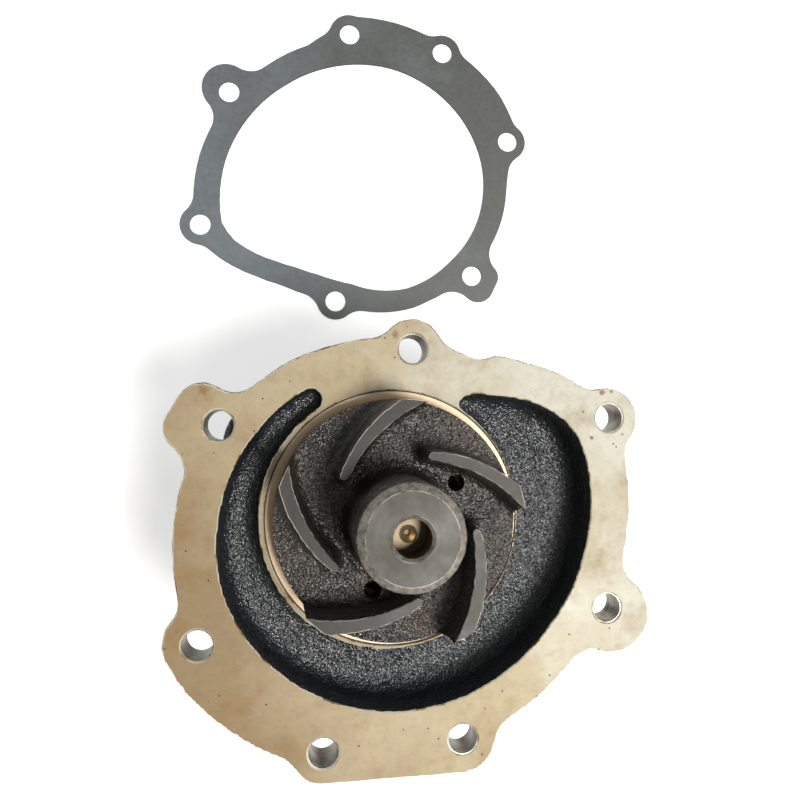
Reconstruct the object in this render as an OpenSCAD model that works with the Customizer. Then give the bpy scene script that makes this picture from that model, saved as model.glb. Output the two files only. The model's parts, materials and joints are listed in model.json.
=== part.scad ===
// Engine water pump with an open impeller, standing on its drive hub.
// Z is the shaft axis. Z = 0 is the drive hub's face, and the engine side is up.

/* [Mounting flange] */
// Height of the mounting face above the drive hub's face
flange_z = 100; // [90:1:120]
// Thickness of the flange
flange_t = 11; // [9:0.5:13]
// Diameter of the mounting bolt holes
bolt_d = 9; // [7:0.5:10.5]
// Thickness of the flange at its one heavy boss
heavy_boss_t = 14.5; // [11.5:0.5:18]
// Radius of the flange's inside corners
flange_fillet = 9; // [4:1:12]

/* [Volute] */
// Depth of the channel at its deepest
channel_depth = 16; // [13:1:20]
// Radius between the channel's walls and its floor
channel_fillet = 5; // [2:0.5:6]
// Thickness of the casting round the channel
cast_wall = 5; // [4:0.5:7]
// Wall left between the impeller's recess and the channel
core_wall = 1.2; // [0.9:0.1:3]
// Depth of the machined recess under the impeller
recess_depth = 0.8; // [0.5:0.1:1.5]

/* [Impeller] */
// Radius of the impeller's back plate
impeller_r = 36.3; // [30:0.1:44]
// Gap round the back plate to the recess's edge
recess_gap = 3.1; // [1:0.1:5]
// Thickness of the back plate
plate_t = 6.5; // [4:0.5:9]
// Height of the blades above the back plate
blade_h = 14.2; // [10:0.2:18]
// Thickness of a blade
blade_t = 3.8; // [3:0.1:4.6]
// Radius that a blade is curved to
blade_arc = 42.7; // [38:0.1:50]
// Radius of the impeller's hub
hub_r = 14; // [12.5:0.5:17]
// Height of the hub's end above the mounting face
hub_top = 42.5; // [34:0.5:52]
// Chamfer on the hub's end
hub_chamfer = 1.8; // [0.8:0.2:2.4]
// Diameter of the puller hole over the shaft's end
puller_d = 10; // [7:0.5:12]
// Diameter of the pressure balance holes
balance_d = 5.2; // [3:0.2:6]

/* [Shaft and bearing] */
// Shaft diameter in the impeller and in the drive hub
shaft_d = 16; // [13.5:0.5:17]
// Shaft diameter inside the bearing
journal_d = 19; // [17.5:0.5:21]
// Outside diameter of the bearing
bearing_d = 38; // [36:0.5:42]
// Length of the bearing
bearing_l = 52; // [46:1:56]
// Thickness of the bearing's outer race
race_wall = 3; // [2.5:0.25:3.5]
// Ball diameter
ball_d = 8; // [7:0.25:8.5]
// Number of balls
ball_count = 8; // [6:1:8]
// Number of rollers
roller_count = 9; // [7:1:10]
// Running clearance inside the bearing
bearing_gap = 0.06; // [0.03:0.01:0.1]

/* [Drive hub] */
// Diameter of the drive hub's flange
drive_d = 76; // [62:1:92]
// Thickness of the drive hub's flange
drive_t = 8; // [6:0.5:10]
// Pitch circle of the pulley bolts
pulley_pcd = 54; // [50:0.5:56]
// Drill size of the pulley bolts' threads
pulley_hole_d = 6.8; // [5:0.1:8.5]
// Diameter of the pilot recess for the pulley
pilot_d = 30; // [24:0.5:32]
// Depth of the pilot recess
pilot_depth = 3; // [2:0.5:4]

/* [Gasket] */
// Thickness of the steel gasket
gasket_t = 0.8; // [0.5:0.1:1.5]
// Radius of the gasket's inside corners
gasket_fillet = 10; // [4:1:12]

/* [Hidden] */
$fn = 96;
eps = 0.01;

// Volute: the core is cast a little off the shaft's axis, as the machined recess shows
core_shift = -0.7;
recess_r = impeller_r + recess_gap;
core_r = recess_r + core_wall;
channel_start = 119.5;
channel_end = 419;
// Width of the channel outside the core, at each angle from its narrow start to the tongue
channel_widths = [[119, 6.2], [151, 8.1], [180, 11.2], [201, 14], [220, 15.5], [240, 16.7],
    [264, 18.2], [290, 19.6], [318, 20.5], [342, 22.4], [360, 24], [374, 25], [382, 24.8],
    [389, 22.7], [397, 18.2], [407, 10.6], [416, 5.3], [419, 2]];
// Depth of the channel at each angle, as a share of its greatest depth
channel_depths = [[119, 0.42], [160, 0.6], [240, 1], [396, 1], [419, 0.6]];
// Width of the flange outside the channel, at each angle
rim_widths = [[60, 15.5], [105, 15.4], [119.4, 16.4], [119.6, 10.4], [133, 10.4], [165, 13.4], [207, 13.4],
    [214, 24], [246, 21.5], [256, 13.4], [392, 13.4], [402, 14.5], [419, 15.5]];
// Mounting bolts: angle, distance outside the channel's edge, radius of the ear on the flange and on the gasket
bolts = [[82.3, 12.2, 9.6, 8.2], [23.4, 12.6, 9.8, 8.8], [336.7, 13.6, 10, 9.4], [288.2, 12.5, 10.5, 9],
    [253.9, 15.6, 9.6, 8.4], [212.6, 13.2, 10.5, 8.4], [151.4, 10.7, 9.5, 8.8]];
HEAVY = 4;
BROAD = 2;
SQUARE = 6;

function channel_w(a) = lookup(a, channel_widths);
function channel_d(a) = channel_depth * lookup(a, channel_depths);
// Angle from 60 to 420 for any angle round the shaft
function turn(a) = a < 60 ? a + 360 : a;
function channel_edge(a) = let (t = turn(a))
    core_r + (t > channel_start && t < channel_end ? channel_w(t) : 0);
function flange_edge(a) = channel_edge(a) + lookup(turn(a), rim_widths);
function bolt_xy(b) = let (r = channel_edge(b[0]) + b[1]) [r * cos(b[0]) + core_shift, r * sin(b[0])];

// Impeller heights
plate_gap = 0.8;
plate_z = flange_z + plate_gap;
plate_top = plate_z + plate_t;
blade_top = plate_top + blade_h;
hub_z = flange_z + hub_top;
blade_count = 5;
blade_tip_r = impeller_r - 0.3;
blade_from = 84;
balance_at = [[21.5, 31], [21.5, 251]];
shaft_top = flange_z + 33;

// Bearing heights
bearing_z = 22;
bearing_top = bearing_z + bearing_l;
race_r = bearing_d / 2 - race_wall;
journal_r = journal_d / 2;
pitch_r = (race_r + journal_r) / 2;
ball_z = bearing_z + 12;
roller_z = bearing_top - 15;
roller_l = 11;
roller_d = race_r - journal_r - 2 * bearing_gap;
seal_t = 2;
snap_t = 1.6;
snap_depth = 1.2;

// Shaft seal heights
chamber_r = 16.5;
chamber_z = bearing_top;
cup_r = 17.6;
cup_wall = 0.8;
cup_z = chamber_z + 7;
cup_lip_z = flange_z - recess_depth - 7;
seal_face_z = flange_z - 3;
face_gap = 0.05;
sleeve_gap = 1.6;
carbon_t = 4;
carbon_r = 13.6;
seat_t = 5.5;
seat_r = 14.2;
seat_rubber_t = 1.6;
spring_wire = 1.2;
spring_turns = 4;
slinger_t = 1;

// Casting
bowl_z = flange_z - channel_depth - cast_wall;
nose_r = bearing_d / 2 + 8.5;
nose_z = bearing_z - 4;
lug_r = 14;
lug_at = [-42.5, 22.4];
lug_z = flange_z - 62;
lug_t = 18;
lug_hole_d = 8.5;
weep_d = 5;
rib_t = 6;
rib_count = 5;

// Drive hub
barrel_r = 14.5;
barrel_top = bearing_z - 3;
pulley_bolts = 4;

// Gasket: width of its window outside the core, and of its band outside the window, at each angle
window_widths = [[60, 7.1], [68, 4.7], [78, 3.2], [88, 2.6], [104, 4.3], [120, 5.9], [150, 6.9],
    [180, 10.2], [205, 12.6], [240, 15.1], [270, 17.4], [300, 18.8], [320, 20.2], [340, 22.6],
    [360, 25.3], [376, 27], [384, 27.7], [391, 25.4], [400, 18.9], [408, 13.1], [416, 8.6], [420, 7.1]];
band_widths = [[60, 10.6], [92, 10.6], [128, 8.9], [165, 10.4], [195, 11], [203, 12.5], [212, 20.5],
    [230, 22], [262, 21], [286, 22], [296, 15.5], [304, 12], [352, 11.2], [375, 11.4], [395, 12],
    [420, 10.6]];
// Where the gasket lies beside the pump
gasket_at = [1.8, 134];
gasket_turn = 169.8;

// ---- volute channel, as a swept section ----

// Angles of the sections, closer together at the two ends
channel_angles = concat(
    [for (d = [0.3, 1, 2, 3]) channel_start + d],
    [for (a = [channel_start + 4.5 : 6 : channel_end - 6]) a],
    [for (d = [3.4, 1.6, 0.4]) channel_end - d]);

// One section: down the inner wall, across the floor and up the outer wall
function channel_section(a, wall, floor_t, top) =
    let (w = channel_w(a), half = w / 2, mid = core_r + half,
        along = (a - channel_start) * PI / 180 * mid,
        round_end = along < half ? sqrt(1 - pow(1 - along / half, 2)) : 1,
        inner = mid - half * round_end - (wall > 0 ? core_r / 2 : 0),
        outer = mid + half * round_end + wall,
        low = -channel_d(a) - floor_t,
        f = min(channel_fillet + wall, (outer - inner) * 0.45, -low * 0.7))
    concat([[inner, top]],
        [for (i = [0 : 4]) let (t = 90 * i / 4) [inner + f - f * cos(t), low + f - f * sin(t)]],
        [for (i = [0 : 4]) let (t = 90 * i / 4) [outer - f + f * sin(t), low + f - f * cos(t)]],
        [[outer, top]]);

module channel_sweep(wall, floor_t, top) {
    n = len(channel_angles);
    m = 12;
    pts = [for (a = channel_angles) for (p = channel_section(a, wall, floor_t, top))
        [p[0] * cos(a), p[0] * sin(a), p[1]]];
    sides = [for (i = [0 : n - 2]) for (j = [0 : m - 1]) let (k = (j + 1) % m)
        [i * m + j, i * m + k, (i + 1) * m + k, (i + 1) * m + j]];
    first_cap = [for (j = [m - 1 : -1 : 0]) j];
    last_cap = [for (j = [0 : m - 1]) (n - 1) * m + j];
    translate([core_shift, 0, flange_z]) polyhedron(pts, concat(sides, [first_cap, last_cap]), 4);
}

// ---- flat outlines ----

module at_bolts() {
    for (b = bolts) translate(bolt_xy(b)) children();
}

module flange_outline() {
    offset(r = -flange_fillet) offset(r = flange_fillet) union() {
        translate([core_shift, 0])
            polygon([for (a = [0 : 4 : 356]) flange_edge(a) * [cos(a), sin(a)]]);
        for (b = bolts) translate(bolt_xy(b)) circle(b[2], $fn = 48);
        translate(bolt_xy(bolts[BROAD]) + [1.8, -2]) circle(12.4, $fn = 48);
        hull() {
            translate(bolt_xy(bolts[SQUARE]) + [-5, 5]) circle(8, $fn = 32);
            translate(bolt_xy(bolts[SQUARE]) + [-9.2, -0.8]) circle(7.4, $fn = 32);
            translate(bolt_xy(bolts[SQUARE])) circle(8, $fn = 32);
        }
        hull() {
            translate(bolt_xy(bolts[HEAVY])) circle(bolts[HEAVY][2], $fn = 48);
            translate(bolt_xy(bolts[HEAVY - 1]) + [-2, 0]) circle(bolts[HEAVY - 1][2], $fn = 48);
        }
    }
}

function window_r(a) = core_r + lookup(turn(a), window_widths);

module window_outline() {
    translate([core_shift, 0]) polygon([for (a = [0 : 4 : 356]) window_r(a) * [cos(a), sin(a)]]);
}

module gasket_outline() {
    offset(r = -gasket_fillet) offset(r = gasket_fillet) union() {
        translate([core_shift, 0])
            polygon([for (a = [0 : 4 : 356]) (window_r(a) + lookup(turn(a), band_widths)) * [cos(a), sin(a)]]);
        for (b = bolts) translate(bolt_xy(b)) circle(b[3], $fn = 48);
        translate(bolt_xy(bolts[BROAD]) + [1.4, -1.6]) circle(10.8, $fn = 48);
        hull() {
            translate(bolt_xy(bolts[SQUARE]) + [-3.6, 4]) circle(7.4, $fn = 32);
            translate(bolt_xy(bolts[SQUARE]) + [-6.4, -1]) circle(6, $fn = 32);
            translate(bolt_xy(bolts[SQUARE])) circle(8, $fn = 32);
        }
    }
}

// ---- casting ----

module nose() {
    rotate_extrude() polygon([[0, nose_z], [nose_r - 1.5, nose_z], [nose_r, nose_z + 1.5],
        [nose_r, nose_z + 34], [nose_r + 1, nose_z + 40], [nose_r + 4, nose_z + 46],
        [nose_r + 10, bowl_z - 3], [core_r - 2, bowl_z + 2], [core_r - 2, flange_z], [0, flange_z]]);
}

module ribs() {
    for (i = [0 : rib_count - 1]) rotate(18 + i * 360 / rib_count)
        translate([0, rib_t / 2, 0]) rotate([90, 0, 0]) linear_extrude(rib_t)
            polygon([[nose_r - 4, nose_z + 12], [nose_r + 2, nose_z + 12], [core_r + 3, bowl_z + 3],
                [core_r + 3, flange_z - flange_t + 1], [nose_r - 4, flange_z - flange_t + 1]]);
}

module side_lug() {
    translate([0, 0, lug_z]) linear_extrude(lug_t) hull() {
        translate(lug_at) circle(lug_r, $fn = 48);
        translate(lug_at * 0.35) circle(lug_r, $fn = 48);
    }
}

module body_bores() {
    translate([0, 0, nose_z - 1]) cylinder(h = bearing_top - nose_z + 1, r = bearing_d / 2);
    translate([0, 0, bearing_z - snap_t - 0.1])
        cylinder(h = snap_t + 0.1, r = bearing_d / 2 + snap_depth);
    translate([0, 0, bearing_top - eps]) cylinder(h = cup_z - bearing_top + 2 * eps, r = chamber_r);
    translate([0, 0, cup_z]) cylinder(h = cup_lip_z - cup_z + eps, r = cup_r);
    translate([0, 0, cup_lip_z]) cylinder(h = flange_z - cup_lip_z, r = cup_r + 5);
    translate([0, 0, flange_z - recess_depth]) cylinder(h = recess_depth + 1, r = recess_r, $fn = 180);
}

// Weep hole below, vent hole above, both from the chamber behind the seal
module weep_holes() {
    for (side = [-1, 1]) translate([0, side * (chamber_r - 3), chamber_z + 4])
        rotate([-side * 115, 0, 0]) cylinder(h = 40, d = weep_d);
}

module pump_body() {
    color([0.72, 0.66, 0.52]) difference() {
        union() {
            translate([0, 0, flange_z - flange_t]) linear_extrude(flange_t) flange_outline();
            translate([0, 0, flange_z - heavy_boss_t]) translate(bolt_xy(bolts[HEAVY]))
                cylinder(h = heavy_boss_t - 1, r = bolts[HEAVY][2] - 0.5);
            channel_sweep(cast_wall, cast_wall, -1);
            nose();
            ribs();
            side_lug();
        }
        channel_sweep(0, 0, 1);
        body_bores();
        weep_holes();
        translate([0, 0, flange_z - heavy_boss_t - 1]) at_bolts() cylinder(h = heavy_boss_t + 2, d = bolt_d);
        translate([lug_at[0], lug_at[1], lug_z - 1]) cylinder(h = lug_t + 2, d = lug_hole_d);
    }
}

// ---- bearing ----

module ring(r_out, r_in, z, h) {
    translate([0, 0, z]) difference() {
        cylinder(h = h, r = r_out);
        translate([0, 0, -1]) cylinder(h = h + 2, r = r_in);
    }
}

module ball_groove() {
    rotate_extrude() translate([pitch_r, ball_z]) circle(ball_d / 2 + bearing_gap, $fn = 48);
}

module bearing_outer_race() {
    color([0.75, 0.76, 0.78]) difference() {
        ring(bearing_d / 2, race_r, bearing_z, bearing_l);
        ball_groove();
    }
}

module bearing_seal(z) {
    color([0.12, 0.12, 0.13]) ring(race_r, journal_r + 0.35, z, seal_t);
}

module bearing_front_seal() {
    bearing_seal(bearing_z + 1);
}

module bearing_rear_seal() {
    bearing_seal(bearing_top - 1 - seal_t);
}

module bearing_snap_ring() {
    color([0.35, 0.35, 0.36]) difference() {
        ring(bearing_d / 2 + snap_depth - 0.2, bearing_d / 2 - 2, bearing_z - snap_t, snap_t - 0.05);
        rotate(-100) translate([0, -4, bearing_z - snap_t - 1]) cube([bearing_d, 8, snap_t + 2]);
    }
}

module bearing_balls() {
    color([0.8, 0.81, 0.83]) for (i = [0 : ball_count - 1]) rotate(i * 360 / ball_count)
        translate([pitch_r, 0, ball_z]) sphere(ball_d / 2, $fn = 48);
}

module ball_cage() {
    color([0.16, 0.15, 0.14]) difference() {
        ring(pitch_r + 1.4, pitch_r - 1.4, ball_z - ball_d / 2 - 1.2, ball_d + 2.4);
        for (i = [0 : ball_count - 1]) rotate(i * 360 / ball_count)
            translate([pitch_r, 0, ball_z]) sphere(ball_d / 2 + 0.15, $fn = 48);
    }
}

module bearing_rollers() {
    color([0.8, 0.81, 0.83]) for (i = [0 : roller_count - 1]) rotate(i * 360 / roller_count)
        translate([pitch_r, 0, roller_z - roller_l / 2]) cylinder(h = roller_l, d = roller_d, $fn = 32);
}

module roller_cage() {
    color([0.16, 0.15, 0.14]) difference() {
        ring(pitch_r + 1.4, pitch_r - 1.4, roller_z - roller_l / 2 - 2, roller_l + 4);
        for (i = [0 : roller_count - 1]) rotate(i * 360 / roller_count)
            translate([pitch_r, 0, roller_z - roller_l / 2 - 0.2])
                cylinder(h = roller_l + 0.4, d = roller_d + 0.3, $fn = 32);
    }
}

// ---- shaft and what turns with it ----

module shaft() {
    color([0.7, 0.68, 0.62]) difference() {
        union() {
            translate([0, 0, pilot_depth]) cylinder(h = shaft_top - pilot_depth, d = shaft_d);
            translate([0, 0, bearing_z - 2]) cylinder(h = bearing_l + 4, d = journal_d);
        }
        ball_groove();
        translate([0, 0, shaft_top - 2.6]) cylinder(h = 2.61, r1 = 0.6, r2 = 2.1);
        translate([0, 0, pilot_depth - 0.01]) cylinder(h = 2.6, r1 = 2.1, r2 = 0.6);
    }
}

module slinger() {
    color([0.6, 0.6, 0.6]) ring(journal_r + 4.5, shaft_d / 2, bearing_top + 2, slinger_t);
}

// ---- shaft seal ----

module seal_cup() {
    color([0.78, 0.62, 0.3]) {
        difference() {
            union() {
                translate([0, 0, cup_z]) cylinder(h = cup_lip_z - cup_z + cup_wall, r = cup_r);
                translate([0, 0, cup_lip_z]) cylinder(h = cup_wall, r = cup_r + 2.5);
            }
            translate([0, 0, cup_z + cup_wall]) cylinder(h = 40, r = cup_r - cup_wall);
            translate([0, 0, cup_z - 1]) cylinder(h = 40, r = shaft_d / 2 + sleeve_gap + 1.6);
        }
    }
}

// Spring: a round wire wound as a helix between the cup and the carbon ring's collar
spring_r = cup_r - cup_wall - spring_wire;
spring_low = cup_z + cup_wall + spring_wire / 2 + 0.1;
spring_high = seal_face_z - carbon_t - 1.6 - spring_wire / 2 - 0.1;
spring_steps = 24;
spring_sides = 8;
function spring_point(i, j) =
    let (t = i / (spring_turns * spring_steps), a = 360 * i / spring_steps, b = 360 * j / spring_sides,
        r = spring_r + spring_wire / 2 * cos(b))
    [r * cos(a), r * sin(a), spring_low + (spring_high - spring_low) * t + spring_wire / 2 * sin(b)];

module seal_spring() {
    n = spring_turns * spring_steps;
    pts = [for (i = [0 : n]) for (j = [0 : spring_sides - 1]) spring_point(i, j)];
    sides = [for (i = [0 : n - 1]) for (j = [0 : spring_sides - 1]) let (k = (j + 1) % spring_sides)
        [i * spring_sides + j, (i + 1) * spring_sides + j, (i + 1) * spring_sides + k, i * spring_sides + k]];
    caps = [[for (j = [0 : spring_sides - 1]) j],
        [for (j = [spring_sides - 1 : -1 : 0]) n * spring_sides + j]];
    color([0.75, 0.76, 0.78]) polyhedron(pts, concat(sides, caps), 4);
}

module seal_bellows() {
    inner = shaft_d / 2 + sleeve_gap;
    low = cup_z + cup_wall;
    high = seal_face_z - carbon_t;
    color([0.08, 0.08, 0.09]) rotate_extrude() polygon([[inner, low], [inner + 4, low], [inner + 4, low + 1.5],
        [inner + 1.5, low + 1.5], [inner + 1.5, low + 3], [inner + 2.8, low + 4], [inner + 1.5, low + 5],
        [inner + 1.5, high - 1.5], [carbon_r + 2.4, high - 1.5], [carbon_r + 2.4, high], [inner, high]]);
}

module carbon_ring() {
    color([0.1, 0.1, 0.11]) ring(carbon_r, shaft_d / 2 + sleeve_gap, seal_face_z - carbon_t, carbon_t);
}

module ceramic_seat() {
    color([0.93, 0.92, 0.88]) ring(seat_r, shaft_d / 2 + 1.2, seal_face_z + face_gap, seat_t);
}

module seat_rubber() {
    color([0.08, 0.08, 0.09]) ring(seat_r + seat_rubber_t, seat_r, seal_face_z + 1.5, seat_t + face_gap - 1.5);
}

// ---- impeller ----

// A blade's middle line is an arc from the tip circle inwards, and it thins towards its inner end
blade_sweep = 40;
blade_taper = 0.36;
tip_turn = 117.1;
tip_point = blade_tip_r * [cos(blade_from), sin(blade_from)];
arc_centre = tip_point - blade_arc * [cos(tip_turn), sin(tip_turn)];
blade_end_r = blade_t / 2 * (1 - blade_taper);
function blade_side(side, t) =
    let (half = blade_t / 2 * (1 - blade_taper * t * t), a = tip_turn + blade_sweep * t)
    arc_centre + (blade_arc + side * half) * [cos(a), sin(a)];

module blade_outline() {
    steps = 12;
    intersection() {
        circle(blade_tip_r, $fn = 180);
        union() {
            polygon(concat([for (i = [-3 : steps]) blade_side(1, i / steps)],
                [for (i = [steps : -1 : -3]) blade_side(-1, i / steps)]));
            translate(blade_side(0, 1)) circle(blade_end_r, $fn = 32);
        }
    }
}

module impeller() {
    color([0.22, 0.21, 0.2]) difference() {
        union() {
            translate([0, 0, plate_z]) cylinder(h = plate_t, r = impeller_r, $fn = 180);
            translate([0, 0, plate_z]) cylinder(h = hub_z - hub_chamfer - plate_z, r = hub_r);
            translate([0, 0, hub_z - hub_chamfer])
                cylinder(h = hub_chamfer, r1 = hub_r, r2 = hub_r - hub_chamfer);
            translate([0, 0, plate_top - eps]) cylinder(h = 4, r1 = hub_r + 4, r2 = hub_r);
            for (i = [0 : blade_count - 1]) rotate(i * 360 / blade_count)
                translate([0, 0, plate_top - eps]) linear_extrude(blade_h + eps) blade_outline();
        }
        translate([0, 0, plate_z - 1]) cylinder(h = shaft_top - plate_z + 1, d = shaft_d);
        translate([0, 0, shaft_top - eps]) cylinder(h = hub_z - shaft_top + 1, d = puller_d);
        translate([0, 0, hub_z - 0.8]) cylinder(h = 0.81, d1 = puller_d, d2 = puller_d + 1.6);
        translate([0, 0, plate_z - 1])
            cylinder(h = seal_face_z + face_gap + seat_t - plate_z + 1, r = seat_r + seat_rubber_t);
        for (b = balance_at) rotate(b[1]) translate([b[0], 0, plate_z - 1])
            cylinder(h = plate_t + 6, d = balance_d);
    }
}

// ---- drive hub ----

module drive_hub() {
    color([0.3, 0.3, 0.31]) difference() {
        union() {
            cylinder(h = drive_t - 1, d = drive_d);
            translate([0, 0, drive_t - 1]) cylinder(h = 1, r1 = drive_d / 2, r2 = drive_d / 2 - 1);
            cylinder(h = barrel_top, r = barrel_r);
            translate([0, 0, drive_t - eps]) cylinder(h = 3, r1 = barrel_r + 3, r2 = barrel_r);
        }
        translate([0, 0, -1]) cylinder(h = barrel_top + 2, d = shaft_d);
        translate([0, 0, -1]) cylinder(h = pilot_depth + 1, d = pilot_d);
        for (i = [0 : pulley_bolts - 1]) rotate(45 + i * 360 / pulley_bolts)
            translate([pulley_pcd / 2, 0, -1]) cylinder(h = drive_t + 2, d = pulley_hole_d);
    }
}

// ---- gasket ----

module mounting_gasket() {
    color([0.45, 0.46, 0.45]) translate([gasket_at[0], gasket_at[1], 0]) rotate(gasket_turn)
        linear_extrude(gasket_t) difference() {
            gasket_outline();
            window_outline();
            at_bolts() circle(d = bolt_d);
        }
}

pump_body();
bearing_outer_race();
bearing_front_seal();
bearing_rear_seal();
bearing_snap_ring();
bearing_balls();
ball_cage();
bearing_rollers();
roller_cage();
shaft();
slinger();
seal_cup();
seal_spring();
seal_bellows();
carbon_ring();
ceramic_seat();
seat_rubber();
impeller();
drive_hub();
mounting_gasket();
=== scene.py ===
"""Engine water pump with an open impeller and its loose gasket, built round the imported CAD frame.

Every piece is modelled in millimetres and brought to metres last. Z is the shaft's axis, the
drive hub's face is at 0 and the engine side is up.
"""

import itertools
import json
import math
from functools import partial
from types import SimpleNamespace

import bmesh
import bpy
import numpy as np
from mathutils import Matrix, Vector
from mathutils.kdtree import KDTree


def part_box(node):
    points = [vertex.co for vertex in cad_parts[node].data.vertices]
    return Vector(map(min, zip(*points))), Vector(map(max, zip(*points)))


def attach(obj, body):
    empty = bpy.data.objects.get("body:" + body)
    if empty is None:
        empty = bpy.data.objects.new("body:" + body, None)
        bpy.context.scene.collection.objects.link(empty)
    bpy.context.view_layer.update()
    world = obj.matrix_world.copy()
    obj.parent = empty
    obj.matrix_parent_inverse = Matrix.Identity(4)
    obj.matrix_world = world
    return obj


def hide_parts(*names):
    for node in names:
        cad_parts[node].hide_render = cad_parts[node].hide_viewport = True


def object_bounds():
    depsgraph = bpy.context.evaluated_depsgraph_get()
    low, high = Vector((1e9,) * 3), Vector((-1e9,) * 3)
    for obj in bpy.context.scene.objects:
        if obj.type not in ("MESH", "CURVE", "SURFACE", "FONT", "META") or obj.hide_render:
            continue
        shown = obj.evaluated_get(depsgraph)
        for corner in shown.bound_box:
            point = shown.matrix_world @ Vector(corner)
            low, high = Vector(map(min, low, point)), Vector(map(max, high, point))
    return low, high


bl_info = {
    "name": "Engine water pump",
    "version": (1, 0, 0),
    "blender": (4, 5, 0),
    "location": "View3D > Sidebar > Pump",
    "description": "Builds a detailed engine water pump and its gasket round a CAD frame",
    "category": "Add Mesh",
}

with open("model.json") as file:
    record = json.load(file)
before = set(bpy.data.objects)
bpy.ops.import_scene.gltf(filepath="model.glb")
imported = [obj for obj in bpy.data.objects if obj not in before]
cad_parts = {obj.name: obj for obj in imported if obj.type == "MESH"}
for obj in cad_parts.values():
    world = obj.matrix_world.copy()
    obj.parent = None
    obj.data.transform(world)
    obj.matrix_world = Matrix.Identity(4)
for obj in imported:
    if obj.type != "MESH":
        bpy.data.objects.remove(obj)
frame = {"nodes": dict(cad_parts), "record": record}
CAD_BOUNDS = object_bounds()
MM = 0.001
COINCIDENT = 0.002  # mm; nearer points are one
LEVEL = 0.99  # a face whose normal has more than this of Z lies flat
SHARP_ANGLE = 32  # degrees; sharper edges are drawn as edges


# ---- sizes from the frame, in millimetres ----


def cad_box(name):
    """The lowest and highest corners of a CAD node."""
    low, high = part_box(name)
    return low / MM, high / MM


def mount(name):
    """A mount of the record: its place in millimetres and its dimensions."""
    found = next(m for m in frame["record"]["mounts"] if m["name"] == name)
    return Vector(found["pos_m"]) / MM, found["dims"]


FACE_Z = mount("mounting_face")[0].z
BODY_LOW = cad_box("pump_body")[0]
IMPELLER_LOW, IMPELLER_HIGH = cad_box("impeller")
SHAFT_LOW, SHAFT_HIGH = cad_box("shaft")
RACE_LOW, RACE_HIGH = cad_box("bearing_outer_race")
CUP_LOW, CUP_HIGH = cad_box("seal_cup")
HUB_LOW, HUB_HIGH = cad_box("drive_hub")
FLANGE_HOLES = [mount(f"flange_hole_{i}") for i in range(1, 8)]

# Sizes that the nodes' boxes don't give.
SHAFT_RADIUS = 8.0
JOURNAL_RADIUS = 9.5
HUB_FLANGE = 8.0
THREAD_PITCH = 1.25
THREAD_DEPTH = 0.5
ROLLER_RADIUS = 3.19
SEAL_LIP_RADIUS = 9.85


# ---- sizes and colours that a user may change ----


def linear(hex_colour):
    """An sRGB hex colour as linear red, green, blue."""
    parts = [int(hex_colour[i : i + 2], 16) / 255 for i in (1, 3, 5)]
    return [c / 12.92 if c <= 0.04045 else ((c + 0.055) / 1.055) ** 2.4 for c in parts]


def colour(name, hex_colour, description):
    return bpy.props.FloatVectorProperty(
        name=name,
        description=description,
        default=linear(hex_colour),
        size=3,
        subtype="COLOR",
        min=0,
        max=1,
    )


def size(name, default, description):
    """A length: written here in millimetres and kept in metres."""
    return bpy.props.FloatProperty(
        name=name,
        description=description,
        default=default * MM,
        min=0,
        precision=5,
        subtype="DISTANCE",
        unit="LENGTH",
    )


class PumpSizes(bpy.types.PropertyGroup):
    """Sizes of the detail."""

    casting_voxel: size("Casting voxel", 1.15, "Width of the casting's mesh cells")
    core_shift: size("Core shift", 0.7, "How far the volute's core is cast off the shaft's axis")
    recess_radius: size("Recess radius", 39.4, "Radius of the machined recess under the impeller")
    recess_depth: size("Recess depth", 0.8, "Depth of that recess")
    channel_reach: size("Channel reach", 67.5, "Radius that the volute's channel stays inside")
    channel_depth: size("Channel depth", 16.0, "Depth of the volute's channel at its deepest")
    flange_depth: size("Flange depth", 11.0, "Thickness of the mounting flange")
    chamber_radius: size("Chamber radius", 16.5, "Radius of the chamber behind the shaft seal")
    weep_radius: size("Weep radius", 2.5, "Radius of the weep and vent holes")
    plate_depth: size("Plate depth", 6.5, "Thickness of the impeller's back plate")
    blade_height: size("Blade height", 14.2, "Height of the blades above the back plate")
    blade_width: size("Blade width", 3.8, "Thickness of a blade at its top")
    blade_arc: size("Blade arc", 42.7, "Radius that a blade is curved to")
    blade_root: size("Blade root", 2.6, "Radius of the fillet at a blade's root")
    blade_draft: bpy.props.FloatProperty(
        name="Blade draft",
        description="Taper of a blade's sides",
        default=math.radians(4),
        min=0,
        subtype="ANGLE",
        unit="ROTATION",
    )
    impeller_voxel: size("Impeller voxel", 0.42, "Width of the impeller's mesh cells")
    balance_radius: size("Balance radius", 2.6, "Radius of the pressure balance holes")
    edge_break: size("Edge break", 0.32, "Width of the broken edges of the mounting face")
    gasket_edge: size("Gasket edge", 0.1, "Width of the gasket's broken edges")
    worn_edge: size("Worn edge", 0.2, "Width of the worn edges of the impeller's turned faces")


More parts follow.
